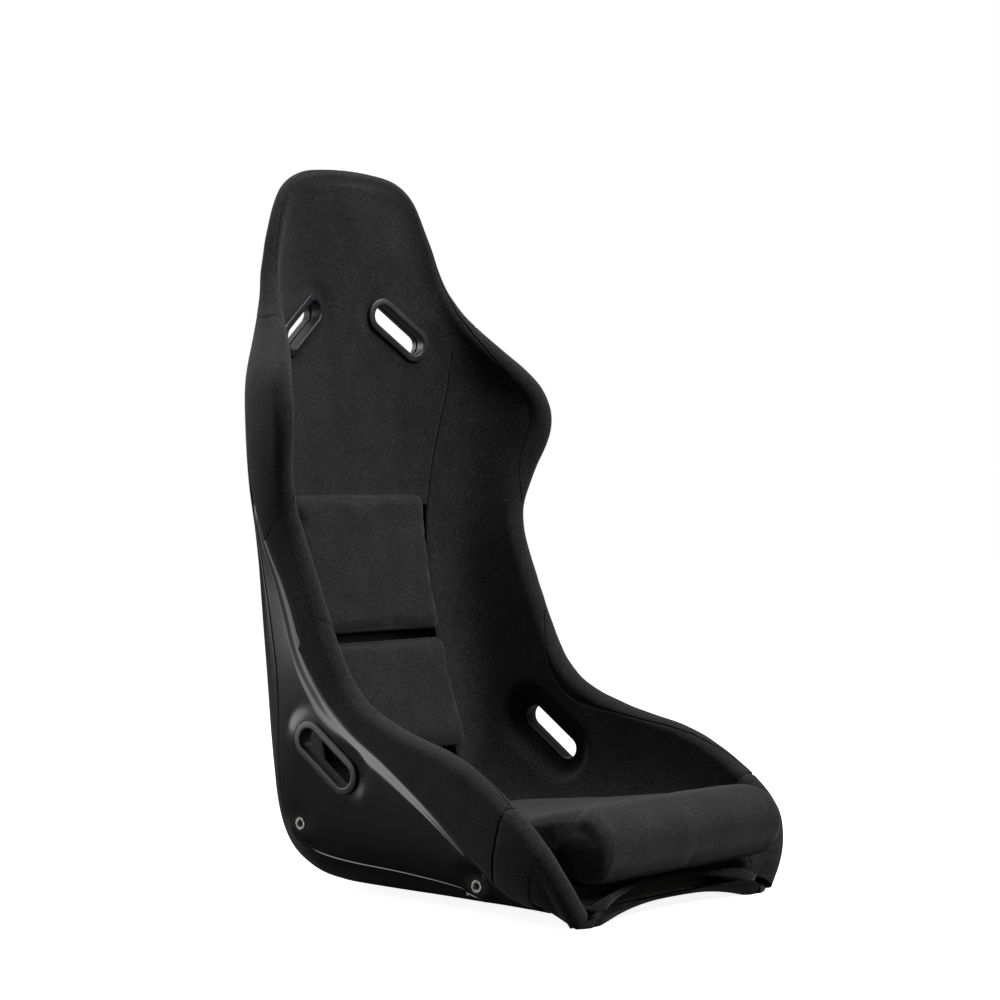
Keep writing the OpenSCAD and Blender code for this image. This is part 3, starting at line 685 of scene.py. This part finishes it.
# %% the bonding paste in the joint
def bead_skin(v, depth):
    f = sections(v)
    end = even(SEAM, v)[:, None]
    return outer_skin(f, end * np.array([[.93, .95, .97, .985]]), depth)


bead_rows = rows_between(BARE_FROM + 0.05, 19.4, 0.1)
bead = slab("joint_bead_right", bead_skin(bead_rows, WALL + 0.25), bead_skin(bead_rows, JOGGLE - 0.25))
both_sides(bead, "bond_bead", PASTE, "adhesive")

# %% [markdown]
# ## Foam between shell and trim
# The foam fills what lies between the tub and the velour. It is cut from the same surface, a little inside
# the fabric and a little off the shell, so nothing pokes through.

# %% foams
FOAM_TOP = COVER + 1.4
STRIP_START = 1.3
FOAM_BASE = WALL + 1.0


def foam_base(f, u):
    seam, wrap = tub_columns(f["v"])[1:]
    face = tub_depth(f, u, seam, wrap)
    return outer_skin(f, u, face + FOAM_BASE, face)


def centre_edge(v):
    """The centre panel's edge: along the back's seam, then out to the rim round the headrest."""
    return mix(even(STITCH, np.minimum(v, 15.0)), STRIP_START, ramp((v - 15) / 1.4))


def flat_foam(name, v, edge, zipped):
    f = sections(v)
    u = np.linspace(0, 1, 15)[None] * (np.minimum(edge, 0.97) - 0.006)[:, None]
    return slab(name, whole(trim_skin(f, u, FOAM_TOP)), whole(foam_base(f, u)), zipped)


back_rows = rows_between(11.72, LAST, 0.12)
centre_foam = flat_foam("back_padding", back_rows, centre_edge(back_rows), True)
drill(centre_foam, [slot_bar(m, SHOULDER_LEN, FOAM_ROOM) for m in SHOULDERS])
dress(centre_foam, FOAM, "foam", "back_foam")
pan_rows = rows_between(1.2, 5.6, 0.1)
dress(flat_foam("pan_padding", pan_rows, even(STITCH, pan_rows) - 0.01, False), FOAM, "foam", "pan_foam")


def side_foam():
    v = rows_between(2.0, 15.5, 0.1)
    f = sections(v)
    start = even(STITCH, v)[:, None] + 0.014
    u = mix(start, 1, np.linspace(0, 1, 26)[None])
    w = np.concatenate([u, np.broadcast_to(1 + np.array([[.2, .4, .6, .8, .9]]), (len(v), 5))], 1)
    top = trim_skin(f, w, FOAM_TOP)
    hub = f["rim"][:, None] + f["out"][:, None] * (f["radius"][:, None] - 5.2)
    tail = hub + f["over"][:, None] * np.linspace(0.2, 1.5, 5)[None, :, None]
    return slab("bolster_padding_right", top, np.concatenate([foam_base(f, u), tail], 1))


bolster = side_foam()
drill(bolster, [slot_bar(LAP, LAP_LEN, FOAM_ROOM)])
both_sides(bolster, "side_foam", FOAM, "foam")

# %% [markdown]
# ## Velour panels
# Each panel is cut, sewn face to face with its neighbour and turned, so at a seam both edges roll down
# into a narrow valley. A panel's grid knows how far every point lies from its edges in millimetres, and
# that distance shapes the roll. Slow ripples of half a millimetre keep the cloth from looking cast.

# %% panel builder
SEAM_ROLL = 1.5
EDGE_ROLL = 1.8


def arc(points, axis):
    """Distance run along a grid's axis from its first line."""
    step = np.linalg.norm(np.diff(points, axis=axis), axis=-1)
    first = np.zeros_like(np.take(step, [0], axis=axis))
    return np.concatenate([first, np.cumsum(step, axis=axis)], axis=axis)


def ripple(points, size=55, height=0.35):
    """A quiet, fixed undulation of the cloth."""
    q = points * (2 * math.pi / size)
    x, y, z = q[..., 0], q[..., 1], q[..., 2]
    wave = np.sin(x + 1.7 * np.sin(0.61 * z)) + np.sin(1.31 * z + 0.9 * y + 1.1)
    return height * (wave + np.sin(0.77 * y - 0.5 * z + 2.0)) / 3


def edges_drop(points, rolls):
    """Drop of the cloth towards each of a grid's edges: first w, last w, first v and last v."""
    drop = np.zeros(points.shape[:2])
    across, down = arc(points, 1), arc(points, 0)
    ways = (across, across[:, -1:] - across, down, down[-1:] - down)
    for distance, radius in zip(ways, rolls):
        if radius:
            drop = np.maximum(drop, edge_round(distance, radius))
    return drop


def graded(count, ends=(1, 1)):
    """Shares from 0 to 1, closer together at the ends that need a roll."""
    t = np.linspace(0, 1, count)
    fine = 0.5 - 0.5 * np.cos(math.pi * t)
    low = mix(t, fine, 0.55 * ends[0])
    high = mix(t, fine, 0.55 * ends[1])
    return mix(low, high, t)


def panel(name, v, w0, w1, columns, rolls, crease=None, sym=False, zipped=False):
    """A velour panel from w0 to w1 at the rows v, its edges rolled down by the given radii."""
    f = sections(v)
    w = mix(w0[:, None], w1[:, None], graded(columns)[None])
    flat = trim_skin(f, w, 0)
    if sym:
        flat = whole(flat)
        w = np.concatenate([w[:, :0:-1], w], 1)
    drop = edges_drop(flat, rolls) + 0.35 - ripple(flat)
    if crease is not None:
        drop = drop + crease(flat)
    if sym:
        half = columns - 1
        right, left = w[:, half:], w[:, half::-1]
        def layer(extra):
            a = trim_skin(f, right, drop[:, half:] + extra)
            b = trim_skin(f, left, drop[:, half::-1] + extra) * [-1, 1, 1]
            return np.concatenate([b[:, :0:-1], a], 1)
        return slab(name, layer(0), layer(COVER - 0.5), zipped)
    return slab(name, trim_skin(f, w, drop), trim_skin(f, w, drop + COVER - 0.5))


# %% centre panel of the headrest and upper back
centre_rows = rows_between(11.7, LAST, 0.05)
centre_panel = panel("centre_panel", centre_rows, centre_rows * 0, centre_edge(centre_rows), 34,
                     (SEAM_ROLL, SEAM_ROLL, EDGE_ROLL, 0), sym=True, zipped=True)
drill(centre_panel, shoulder_bars)
dress(centre_panel, VELOUR, "black_velour", "centre_cover")
print("centre panel faces", len(centre_panel.data.polygons))


# %% strip round the headrest's edge
def edge_strip():
    half = rows_between(15.7, LAST, 0.06)
    f = sections(half)
    end = 3 - even(WRAP, half) - 0.02
    w = mix(STRIP_START + 0.008, end[:, None], graded(30)[None])

    def run(depth):
        side = trim_skin(f, w, depth)
        return np.concatenate([side, side[-2::-1] * [-1, 1, 1]], 0)

    flat = run(0)
    drop = edges_drop(flat, (SEAM_ROLL, EDGE_ROLL, EDGE_ROLL, EDGE_ROLL)) + 0.35 - ripple(flat)
    half_drop = drop[:len(half)]
    return slab("headrest_edge_strip", run(half_drop), run(half_drop + COVER - 0.5))


dress(edge_strip(), VELOUR, "black_velour", "headrest_edge_cover")


# %% side panels
LOWER_END = 7.5
UPPER_START = 11.05
BIAS = 0.35


def outer_end(v):
    return 3 - even(WRAP, v) - 0.01


INSIDE_RUN, ROUND_RUN = 250, 45


def run_of(w):
    """Millimetres from the rim's inner edge. A unit of w is long on the inside and short round the rim."""
    return (w - 1) * np.where(w < 1, INSIDE_RUN, ROUND_RUN)


def seam_at(run):
    return 1 + run / np.where(run < 0, INSIDE_RUN, ROUND_RUN)


def rim_seam(v, gap=0.0):
    """Where side and rim panels meet. At both ends of the waist the seam runs out to the wrapped edge."""
    turned = np.clip((v - LOWER_END) / BIAS, 0, 1) * np.clip((UPPER_START - v) / BIAS, 0, 1)
    seam = even(run_of(RIMSEAM), v)
    return seam_at(mix(seam, run_of(outer_end(v)), turned) + gap)


def side_end(v):
    seam = np.minimum(rim_seam(v, -0.5), outer_end(v))
    return np.where(v > 15.68, np.minimum(seam, STRIP_START - 0.004), seam)


side_rows = rows_between(2.35, 16.3, 0.05, (LOWER_END, LOWER_END + BIAS, UPPER_START - BIAS, UPPER_START))
side_start = np.minimum(centre_edge(side_rows) + 0.003, side_end(side_rows) - 0.01)
side_panel = panel("side_panel_right", side_rows, side_start, side_end(side_rows), 64,
                   (SEAM_ROLL, SEAM_ROLL, SEAM_ROLL, 0))
drill(side_panel, lap_bars[:1])
both_sides(side_panel, "side_cover")
print("side panel faces", len(side_panel.data.polygons))


# %% rim panels
def rim_panel(name, low, high):
    v = rows_between(low, high, 0.03)
    return panel(name, v, rim_seam(v, 0.5), outer_end(v), 40, (SEAM_ROLL, EDGE_ROLL, 0, 0))


both_sides(rim_panel("shoulder_rim_panel_right", UPPER_START - BIAS + 0.03, 15.72), "upper_rim_cover")
both_sides(rim_panel("thigh_rim_panel_right", 2.35, LOWER_END + BIAS - 0.03), "lower_rim_cover")


# %% front corner panels and the panel over the lip
def lip_edge(v):
    return mix(.70, .58, v / 2)


def corner_end(v):
    return np.where(v < 1.65, mix(2.25, 2.32, v / 1.6), outer_end(v))


def tucks(points):
    """Soft folds where the cloth is pulled under the front edge."""
    x, y, z = points[..., 0], points[..., 1], points[..., 2]
    fold = np.sin(x / 13 + 1.3 * np.sin(x / 31) + z / 9) * np.sin(z / 14 + x / 47 + 0.6)
    return 1.7 * fold * ramp((70 - z) / 50) * ramp((-195 - y) / 30)


corner_rows = rows_between(0, 2.33, 0.035)
corner_panel = panel("corner_panel_right", corner_rows, lip_edge(corner_rows) + 0.006,
                     corner_end(corner_rows), 60, (SEAM_ROLL, EDGE_ROLL, 0, SEAM_ROLL))
both_sides(corner_panel, "corner_cover")
lip_rows = rows_between(0, 2, 0.03)
dress(panel("front_lip_panel", lip_rows, lip_rows * 0, lip_edge(lip_rows), 60,
            (SEAM_ROLL, SEAM_ROLL, EDGE_ROLL, EDGE_ROLL), crease=tucks, sym=True),
      VELOUR, "black_velour", "front_lip_cover")

# %% [markdown]
# ## Padded pieces
# The back pads and the cushion are sewn bags with foam in them. A bag of cloth under a little pressure
# takes the right crowned shape by itself, so each one starts a little small, is remeshed to even cells and
# is blown up by the cloth solver. How far a point may travel is capped, and the back of a pad stays flat
# against the seat.

# %% blowing a padded piece up
# height and depth of the back under the pads, then the cloth's push and the number of solver frames
PAD_FACE = np.array([[120, 156], [180, 170], [230, 186], [290, 205], [350, 218], [410, 229], [450, 236],
                     [486, 241]])
PRESSURE = 4.0
LAST_FRAME = 20


def coordinates(mesh):
    flat = np.empty(len(mesh.vertices) * 3)
    mesh.vertices.foreach_get("co", flat)
    return flat.reshape(-1, 3)


def blow_up(piece, voxel, cap, held_side=None):
    """Remeshes a closed piece, swells it with the cloth solver and keeps each move under cap metres."""
    remesh = piece.modifiers.new("even cells", "REMESH")
    remesh.mode, remesh.voxel_size = "VOXEL", voxel
    baked(piece)
    start = coordinates(piece.data)
    cloth = piece.modifiers.new("swell", "CLOTH")
    cloth.settings.quality = 5
    cloth.settings.mass = 0.3
    cloth.settings.use_pressure = True
    cloth.settings.uniform_pressure_force = PRESSURE
    cloth.settings.effector_weights.gravity = 0
    scene = bpy.context.scene
    for tick in range(1, LAST_FRAME + 1):
        scene.frame_set(tick)
    solved = piece.evaluated_get(bpy.context.evaluated_depsgraph_get()).to_mesh()
    end = coordinates(solved)
    piece.modifiers.clear()
    scene.frame_set(1)
    move = end - start
    length = np.linalg.norm(move, axis=1, keepdims=True)
    move *= cap * np.tanh(length / cap) / np.maximum(length, 1e-9)
    if held_side is not None:
        move *= held_side(start)[:, None]
    piece.data.vertices.foreach_set("co", (start + move).ravel())
    furthest = float(np.linalg.norm(move, axis=1).max()) / MM
    print(piece.name, "swelled by up to", round(furthest, 1), "mm")
    smooth = piece.modifiers.new("smooth", "SUBSURF")
    smooth.levels = smooth.render_levels = 1
    baked(piece)
    smooth_shaded(piece.data)


# %% the two back pads
PAD_HALF = 128
PAD_T = 14
PAD_START_INSET = 2.2


def face_y(z):
    return np.interp(z, PAD_FACE[:, 0], PAD_FACE[:, 1])


def pad_grid(low, high, inset, depth, crown):
    t = graded(34)[:, None]
    z = mix(low + inset, high - inset, t) + np.zeros((1, 45))
    corner = 11 - inset
    near = np.minimum(z - low - inset, high - inset - z)
    short = np.maximum(corner - near, 0)
    half = PAD_HALF - inset - corner + np.sqrt(np.maximum(corner ** 2 - short ** 2, 0))
    x = (graded(45) * 2 - 1)[None] * half
    rise = ramp(near / 14) * ramp((half - np.abs(x)) / 14)
    return np.stack([x, face_y(z) + depth + crown * (1 - rise), z], -1)


def against_back(points):
    """1 on a pad's front and sides, 0 on the face that lies against the seat."""
    return 1 - ramp((points[:, 1] * 1000 - face_y(points[:, 2] * 1000) - PAD_T + 5) / 3)


def sewn_border(piece, low, high):
    """The seam 5 mm in from the front edge of a pad: a shallow valley all the way round."""
    co = coordinates(piece.data) * 1000
    inset = np.minimum(np.minimum(co[:, 2] - low, high - co[:, 2]), PAD_HALF - np.abs(co[:, 0]))
    front = 1 - ramp((co[:, 1] - face_y(co[:, 2]) - 1) / 5)
    co[:, 1] += 0.9 * np.exp(-((inset - 5) / 1.6) ** 2) * front
    co[:, 1] += ripple(co, 70, 0.5) * front
    piece.data.vertices.foreach_set("co", (co * MM).ravel())


def back_pad(name, low, high, node):
    cover = slab(name, pad_grid(low, high, PAD_START_INSET, PAD_START_INSET, 4),
                 pad_grid(low, high, PAD_START_INSET, PAD_T - 0.5, 0))
    blow_up(cover, 0.004, 0.005, against_back)
    sewn_border(cover, low, high)
    dress(cover, PAD_VELOUR, "black_velour", node + "_cover")
    core = slab(name + "_core", pad_grid(low, high, 8, 6, 1), pad_grid(low, high, 8, PAD_T - 3, 0))
    dress(core, FOAM, "foam", node + "_foam")
    print(name, "faces", len(cover.data.polygons))


back_pad("upper_back_pad", 299, 482, "upper_pad")
back_pad("lower_back_pad", 150, 296.5, "lower_pad")

# %% [markdown]
# ## The cushion
# One bag again: a half-round roll over the front of the pan that fills the width between the bolsters, and
# a flat tail that runs back under the pads. Its ends are flat panels sewn in, so they bulge only a little.

# %% the cushion
ROLL_Y, ROLL_Z, ROLL_R, ROLL_HALF = -250, 88, 44, 180


def cushion_outline(inset):
    """The side view, from over the roll round its front and along the bottom to the tail."""
    r = ROLL_R - inset
    turn = np.radians(np.arange(80, -121, -8))
    nose = np.stack([ROLL_Y - r * np.cos(turn), ROLL_Z + r * np.sin(turn)], -1)
    under = [[-205 + inset, 46 + inset], [-60, 41 + inset], [118 - inset, 45 + inset]]
    over = [[118 - inset, 84 - inset], [-40, 98 - inset], [-150, 112 - inset], [-205, 123 - inset]]
    return np.concatenate([nose, under, over])


def bag(name, inset, half, corner):
    """The side view carried across, its two ends rounded over by a corner radius."""
    swing = np.radians(np.arange(0, 91, 15))
    right = [(half - corner * (1 - math.cos(a)), inset + corner * (1 - math.sin(a))) for a in swing]
    rings = [(-x, drop) for x, drop in right] + right[::-1]
    outlines = [(x, cushion_outline(drop)) for x, drop in rings]
    n = len(outlines[0][1])
    verts = np.array([(x, y, z) for x, outline in outlines for y, z in outline]) * MM
    faces = [[k * n + i, k * n + (i + 1) % n, (k + 1) * n + (i + 1) % n, (k + 1) * n + i]
             for k in range(len(rings) - 1) for i in range(n)]
    faces += [list(range(n))[::-1], list(range(len(verts) - n, len(verts)))]
    return finish_mesh(name, verts, faces, 30, recalculate=True)


def under_side(points):
    """1 on the cushion's top and front, less on the side that it rests on."""
    return 0.25 + 0.75 * ramp((points[:, 2] * 1000 - 46) / 14)


cushion = bag("seat_cushion", 3.0, ROLL_HALF - 3.0, 13)
blow_up(cushion, 0.005, 0.006, under_side)
co = coordinates(cushion.data) * 1000
end_seam = np.exp(-((ROLL_HALF - 12 - np.abs(co[:, 0])) / 2.4) ** 2)
centre_line = np.array([0, ROLL_Y + 20, ROLL_Z])
radial = unit((co - centre_line) * [0, 1, 1])
co -= radial * (0.8 * end_seam + ripple(co, 85, 0.8))[:, None]
cushion.data.vertices.foreach_set("co", (co * MM).ravel())
dress(cushion, PAD_VELOUR, "black_velour", "cushion_cover")
dress(bag("seat_cushion_core", 10, ROLL_HALF - 10, 8), FOAM, "foam", "cushion_foam")
print("cushion faces", len(cushion.data.polygons))

# %% [markdown]
# ## Bezels and inserts
# A belt slot has a moulded ring with a crowned face and a sleeve through the trim. It is one profile swept
# round the slot's outline. The side-mount inserts are turned parts, so their profile is spun, with the
# thread as real grooves.

# %% bezels
def crowned_profile(sleeve):
    """The ring's section as (radius, height): sleeve, rounded lip, crowned face and flange edge."""
    quarter = np.radians(np.arange(0, 91, 15))
    lip = [(SLOT_R + 1.7 - 1.7 * math.cos(a), 1.9 + 1.7 * math.sin(a)) for a in quarter]
    face = [(mix(SLOT_R + 1.7, FLANGE_R - 1.6, t), 3.6 - 0.5 * t * t) for t in (0.2, 0.4, 0.6, 0.8)]
    edge = [(FLANGE_R - 1.6 + 1.6 * math.sin(a), 1.5 + 1.6 * math.cos(a)) for a in quarter]
    back = [(FLANGE_R, -0.2), (FLANGE_R - 0.8, -0.6), (SLOT_R + 2.2, -0.6), (SLOT_R + 2.2, -sleeve)]
    return [(SLOT_R, -sleeve + 0.6)] + lip + face + edge + back + [(SLOT_R + 0.6, -sleeve)]


def slot_ring(name, land, length, lift, sleeve, turned=False, round_points=28):
    local = []
    for end in (1, -1):
        for k in range(round_points + 1):
            a = math.pi * (k / round_points - 0.5)
            local.append((end * length / 2, end * math.cos(a), end * math.sin(a)))
    flip = -1 if turned else 1
    profile = crowned_profile(sleeve)
    grid = np.array([[(cx + nx * r, ny * r * flip, h * flip + lift) for r, h in profile]
                     for cx, nx, ny in local])
    points = (grid.reshape(-1, 3) @ land[:3, :3].T + land[:3, 3]) * MM
    n, m = len(local), len(profile)
    faces = [[i * m + j, (i + 1) % n * m + j, (i + 1) % n * m + (j + 1) % m, i * m + (j + 1) % m]
             for i in range(n) for j in range(m)]
    return finish_mesh(name, points, faces, 38, recalculate=True)


def ring_pair(name, node, *shape):
    both_sides(slot_ring(name + "_right", *shape), node, ABS, "satin_bezel")


ring_pair("shoulder_slot_bezel", "shoulder_bezel", SHOULDER, SHOULDER_LEN, 0.6, 11)
ring_pair("shoulder_slot_sleeve", "shoulder_sleeve", SHOULDER, SHOULDER_LEN, -SHOULDER_DEPTH - 0.6, 6, True)
ring_pair("lap_slot_bezel", "lap_bezel", LAP, LAP_LEN, 0.6, LAP_DEPTH + 1)


# %% inserts
THREAD_R, THREAD_PITCH, INSERT_DEPTH = 4.0, 1.25, 18.8


def insert_profile():
    """Half section of an insert, down the threaded bore and back up the outside."""
    bore = [(THREAD_R + 0.8, 1.2), (THREAD_R, 0.4)]
    z = 0.4
    while z > -INSERT_DEPTH + THREAD_PITCH:
        bore += [(THREAD_R + 0.55, z - THREAD_PITCH / 2), (THREAD_R, z - THREAD_PITCH)]
        z -= THREAD_PITCH
    outside = [(THREAD_R, -INSERT_DEPTH), (5.6, -INSERT_DEPTH), (6.0, -INSERT_DEPTH + 0.4), (6.0, 0)]
    return bore + outside + [(7.1, 0), (7.5, 0.35), (7.5, 0.8), (7.1, 1.2)]


def spun(profile, land, turns=40):
    angle = np.linspace(0, 2 * math.pi, turns, endpoint=False)
    grid = np.array([[(r * math.cos(a), r * math.sin(a), h) for r, h in profile] for a in angle])
    points = (grid.reshape(-1, 3) @ land[:3, :3].T + land[:3, 3]) * MM
    m = len(profile)
    faces = []
    for i in range(turns):
        here, there = i * m, (i + 1) % turns * m
        faces += [[here + j, here + (j + 1) % m, there + (j + 1) % m, there + j] for j in range(m)]
    return points, faces


def inserts():
    verts, faces = [], []
    for land in MOUNTS + [flipped(m) for m in MOUNTS]:
        points, ring = spun(insert_profile(), land)
        faces += [[i + len(verts) for i in f] for f in ring]
        verts += [tuple(p) for p in points]
    return finish_mesh("threaded_inserts", verts, faces, 35, recalculate=True)


dress(inserts(), ZINC, "zinc_steel", "mount_inserts")
for part, finish in (("mount_plate_left", ZINC), ("mount_plate_right", ZINC), ("pad_hook_strips", HOOK)):
    bpy.data.objects[part].data.materials.clear()
    bpy.data.objects[part].data.materials.append(finish)

# %% [markdown]
# ## Stitches
# The panels are joined with a lock stitch of bonded thread, three to the centimetre. Each seam is a line
# in the surface, and Geometry Nodes lay the stitches along it: the line is resampled at the stitch pitch,
# one small bead of thread is placed and turned on every point, and the result is made real.

# %% the stitch tree
def stitch_tree():
    tree = bpy.data.node_groups.new("lock_stitches", "GeometryNodeTree")
    face = tree.interface
    face.new_socket("Geometry", in_out="INPUT", socket_type="NodeSocketGeometry")
    for label, value in (("Pitch", 0.0036), ("Stitch length", 0.0029), ("Thread radius", 0.0004)):
        face.new_socket(label, in_out="INPUT", socket_type="NodeSocketFloat").default_value = value
    face.new_socket("Thread", in_out="INPUT", socket_type="NodeSocketMaterial")
    face.new_socket("Geometry", in_out="OUTPUT", socket_type="NodeSocketGeometry")

    def node(*kind, **inputs):
        return tree_node(tree, *kind, **inputs).outputs

    given = tree.nodes.new("NodeGroupInput").outputs
    line = node("GeometryNodeMeshToCurve", Mesh=given["Geometry"])["Curve"]
    points = node("GeometryNodeResampleCurve", {"mode": "LENGTH"}, Curve=line, Length=given["Pitch"])["Curve"]
    tangent = node("GeometryNodeInputTangent")["Tangent"]
    turn = node("FunctionNodeAlignRotationToVector", {"axis": "Z"}, Vector=tangent)["Rotation"]
    ball = node("GeometryNodeMeshIcoSphere", Radius=1.0, Subdivisions=2)["Mesh"]
    half = node("ShaderNodeMath", {"operation": "MULTIPLY"}, _0=given["Stitch length"], _1=0.5)[0]
    size = node("ShaderNodeCombineXYZ", X=given["Thread radius"], Y=given["Thread radius"], Z=half)["Vector"]
    placed = node("GeometryNodeInstanceOnPoints", Points=points, Instance=ball, Rotation=turn, Scale=size)
    real = node("GeometryNodeRealizeInstances", Geometry=placed["Instances"])["Geometry"]
    done = node("GeometryNodeSetMaterial", Geometry=real, Material=given["Thread"])["Geometry"]
    node("NodeGroupOutput", Geometry=done)
    return tree


STITCHES = stitch_tree()


def sewn(name, lines):
    """Stitches along lines of points in millimetres, as one plain mesh."""
    verts, edges = [], []
    for line in lines:
        edges += [(len(verts) + i, len(verts) + i + 1) for i in range(len(line) - 1)]
        verts += [tuple(p) for p in np.asarray(line) * MM]
    mesh = bpy.data.meshes.new(name)
    mesh.from_pydata(verts, edges, [])
    piece = placed_object(name, mesh)
    work = piece.modifiers.new("stitches", "NODES")
    work.node_group = STITCHES
    sockets = {item.name: item.identifier for item in STITCHES.interface.items_tree if item.in_out == "INPUT"}
    work[sockets["Thread"]] = THREAD
    baked(piece)
    smooth_shaded(piece.data)
    dress(piece, THREAD, "black_velour")
    print(name, "faces", len(piece.data.polygons))


def seam_line(low, high, where, depth=1.5):
    v = rows_between(low, high, 0.05)
    right = trim_skin(sections(v), where(v)[:, None], depth)[:, 0]
    return [right, right * [-1, 1, 1]]


sewn("side_seam_stitches", seam_line(11.8, 15.3, lambda v: even(STITCH, v) + 0.002))
sewn("rim_seam_stitches", seam_line(UPPER_START, 15.3, rim_seam) + seam_line(2.4, LOWER_END, rim_seam))
sewn("lip_seam_stitches", seam_line(0.3, 1.95, lambda v: lip_edge(v) + 0.003))

# %% [markdown]
# ## Floor, light and camera
# The seat stands on a plain pale floor in front of a bright backdrop. A large soft light hangs over the
# front, and the lit backdrop behind gives the gloss shell its broad grey reflections.

# %% floor
floor_mesh = bpy.data.meshes.new("floor")
FLOOR_HALF = 30
floor_corners = [(x * FLOOR_HALF, y * FLOOR_HALF, 0) for x, y in ((-1, -1), (1, -1), (1, 1), (-1, 1))]
floor_mesh.from_pydata(floor_corners, [], [[0, 1, 2, 3]])
floor = placed_object("floor", floor_mesh)
floor.location.z = float(cad_box[0][2]) - 0.0005


WHITE = (1, 1, 1, 1)


def pale_floor():
    """White paper to the eye; in reflections and soft light it is a mid grey, as if it ended soon."""
    m = new_material("white_paper_floor")
    seen = add_node(m, "ShaderNodeLightPath").outputs["Is Camera Ray"]
    grey = add_node(m, "ShaderNodeBsdfDiffuse", Color=linear("5C5C5C")).outputs[0]
    paper = add_node(m, "ShaderNodeBsdfDiffuse", Color=linear("F4F4F4")).outputs[0]
    glow = add_node(m, "ShaderNodeEmission", Color=WHITE, Strength=0.9).outputs[0]
    lit = add_node(m, "ShaderNodeAddShader", _0=paper, _1=glow).outputs[0]
    final = add_node(m, "ShaderNodeMixShader", _0=seen, _1=grey, _2=lit).outputs[0]
    add_node(m, "ShaderNodeOutputMaterial", Surface=final)
    return m


floor_mesh.materials.append(pale_floor())

# %% world and lights
world = bpy.data.worlds.new("studio")
bpy.context.scene.world = world
world.use_nodes = True
world.node_tree.nodes.clear()


def world_node(*given, **inputs):
    return tree_node(world.node_tree, *given, **inputs)


path = world_node("ShaderNodeLightPath").outputs
towards = world_node("ShaderNodeVectorMath", {"operation": "DOT_PRODUCT"},
                     _0=world_node("ShaderNodeTexCoord").outputs["Generated"], _1=(-0.3, 0.95, 0.05))
glare = world_node("ShaderNodeMapRange", Value=towards.outputs["Value"], From_Min=-0.1, From_Max=1.0,
                   To_Min=0.04, To_Max=1.35).outputs["Result"]
room = world_node("ShaderNodeBackground", Color=linear("808080"), Strength=0.55).outputs[0]
mirror = world_node("ShaderNodeBackground", Strength=glare, Color=WHITE).outputs[0]
sight = world_node("ShaderNodeBackground", Strength=1.0, Color=WHITE).outputs[0]
unseen = world_node("ShaderNodeMixShader", _0=path["Is Glossy Ray"], _1=room, _2=mirror).outputs[0]
mixed = world_node("ShaderNodeMixShader", _0=path["Is Camera Ray"], _1=unseen, _2=sight).outputs[0]
world_node("ShaderNodeOutputWorld", Surface=mixed)

SEAT_CENTRE = Vector((0, 0, 0.45))


def soft_light(name, place, width, height, watts, aim=SEAT_CENTRE):
    lamp = bpy.data.lights.new(name, "AREA")
    lamp.shape, lamp.size, lamp.size_y, lamp.energy = "RECTANGLE", width, height, watts
    light = placed_object(name, lamp)
    light.location = place
    light.rotation_euler = (aim - Vector(place)).to_track_quat("-Z", "Y").to_euler()
    light.visible_camera = False
    return light


soft_light("front_softbox", (0.7, -2.6, 2.7), 1.8, 1.4, 120)
soft_light("top_softbox", (0.1, 0.1, 3.0), 1.8, 1.8, 60)
soft_light("lit_backdrop", (-2.0, 3.2, 1.3), 4.2, 2.8, 80)

# %% camera
CAMERA_PLACE = Vector((-2.612, -2.134, 0.507))
camera = placed_object("camera", bpy.data.cameras.new("camera"))
camera.location = CAMERA_PLACE
camera.rotation_euler = (math.radians(89.4), 0, math.radians(-50.6))
camera.data.lens = 100.1
camera.data.sensor_width = 36
bpy.context.scene.camera = camera
bpy.context.scene.view_settings.view_transform = "Standard"
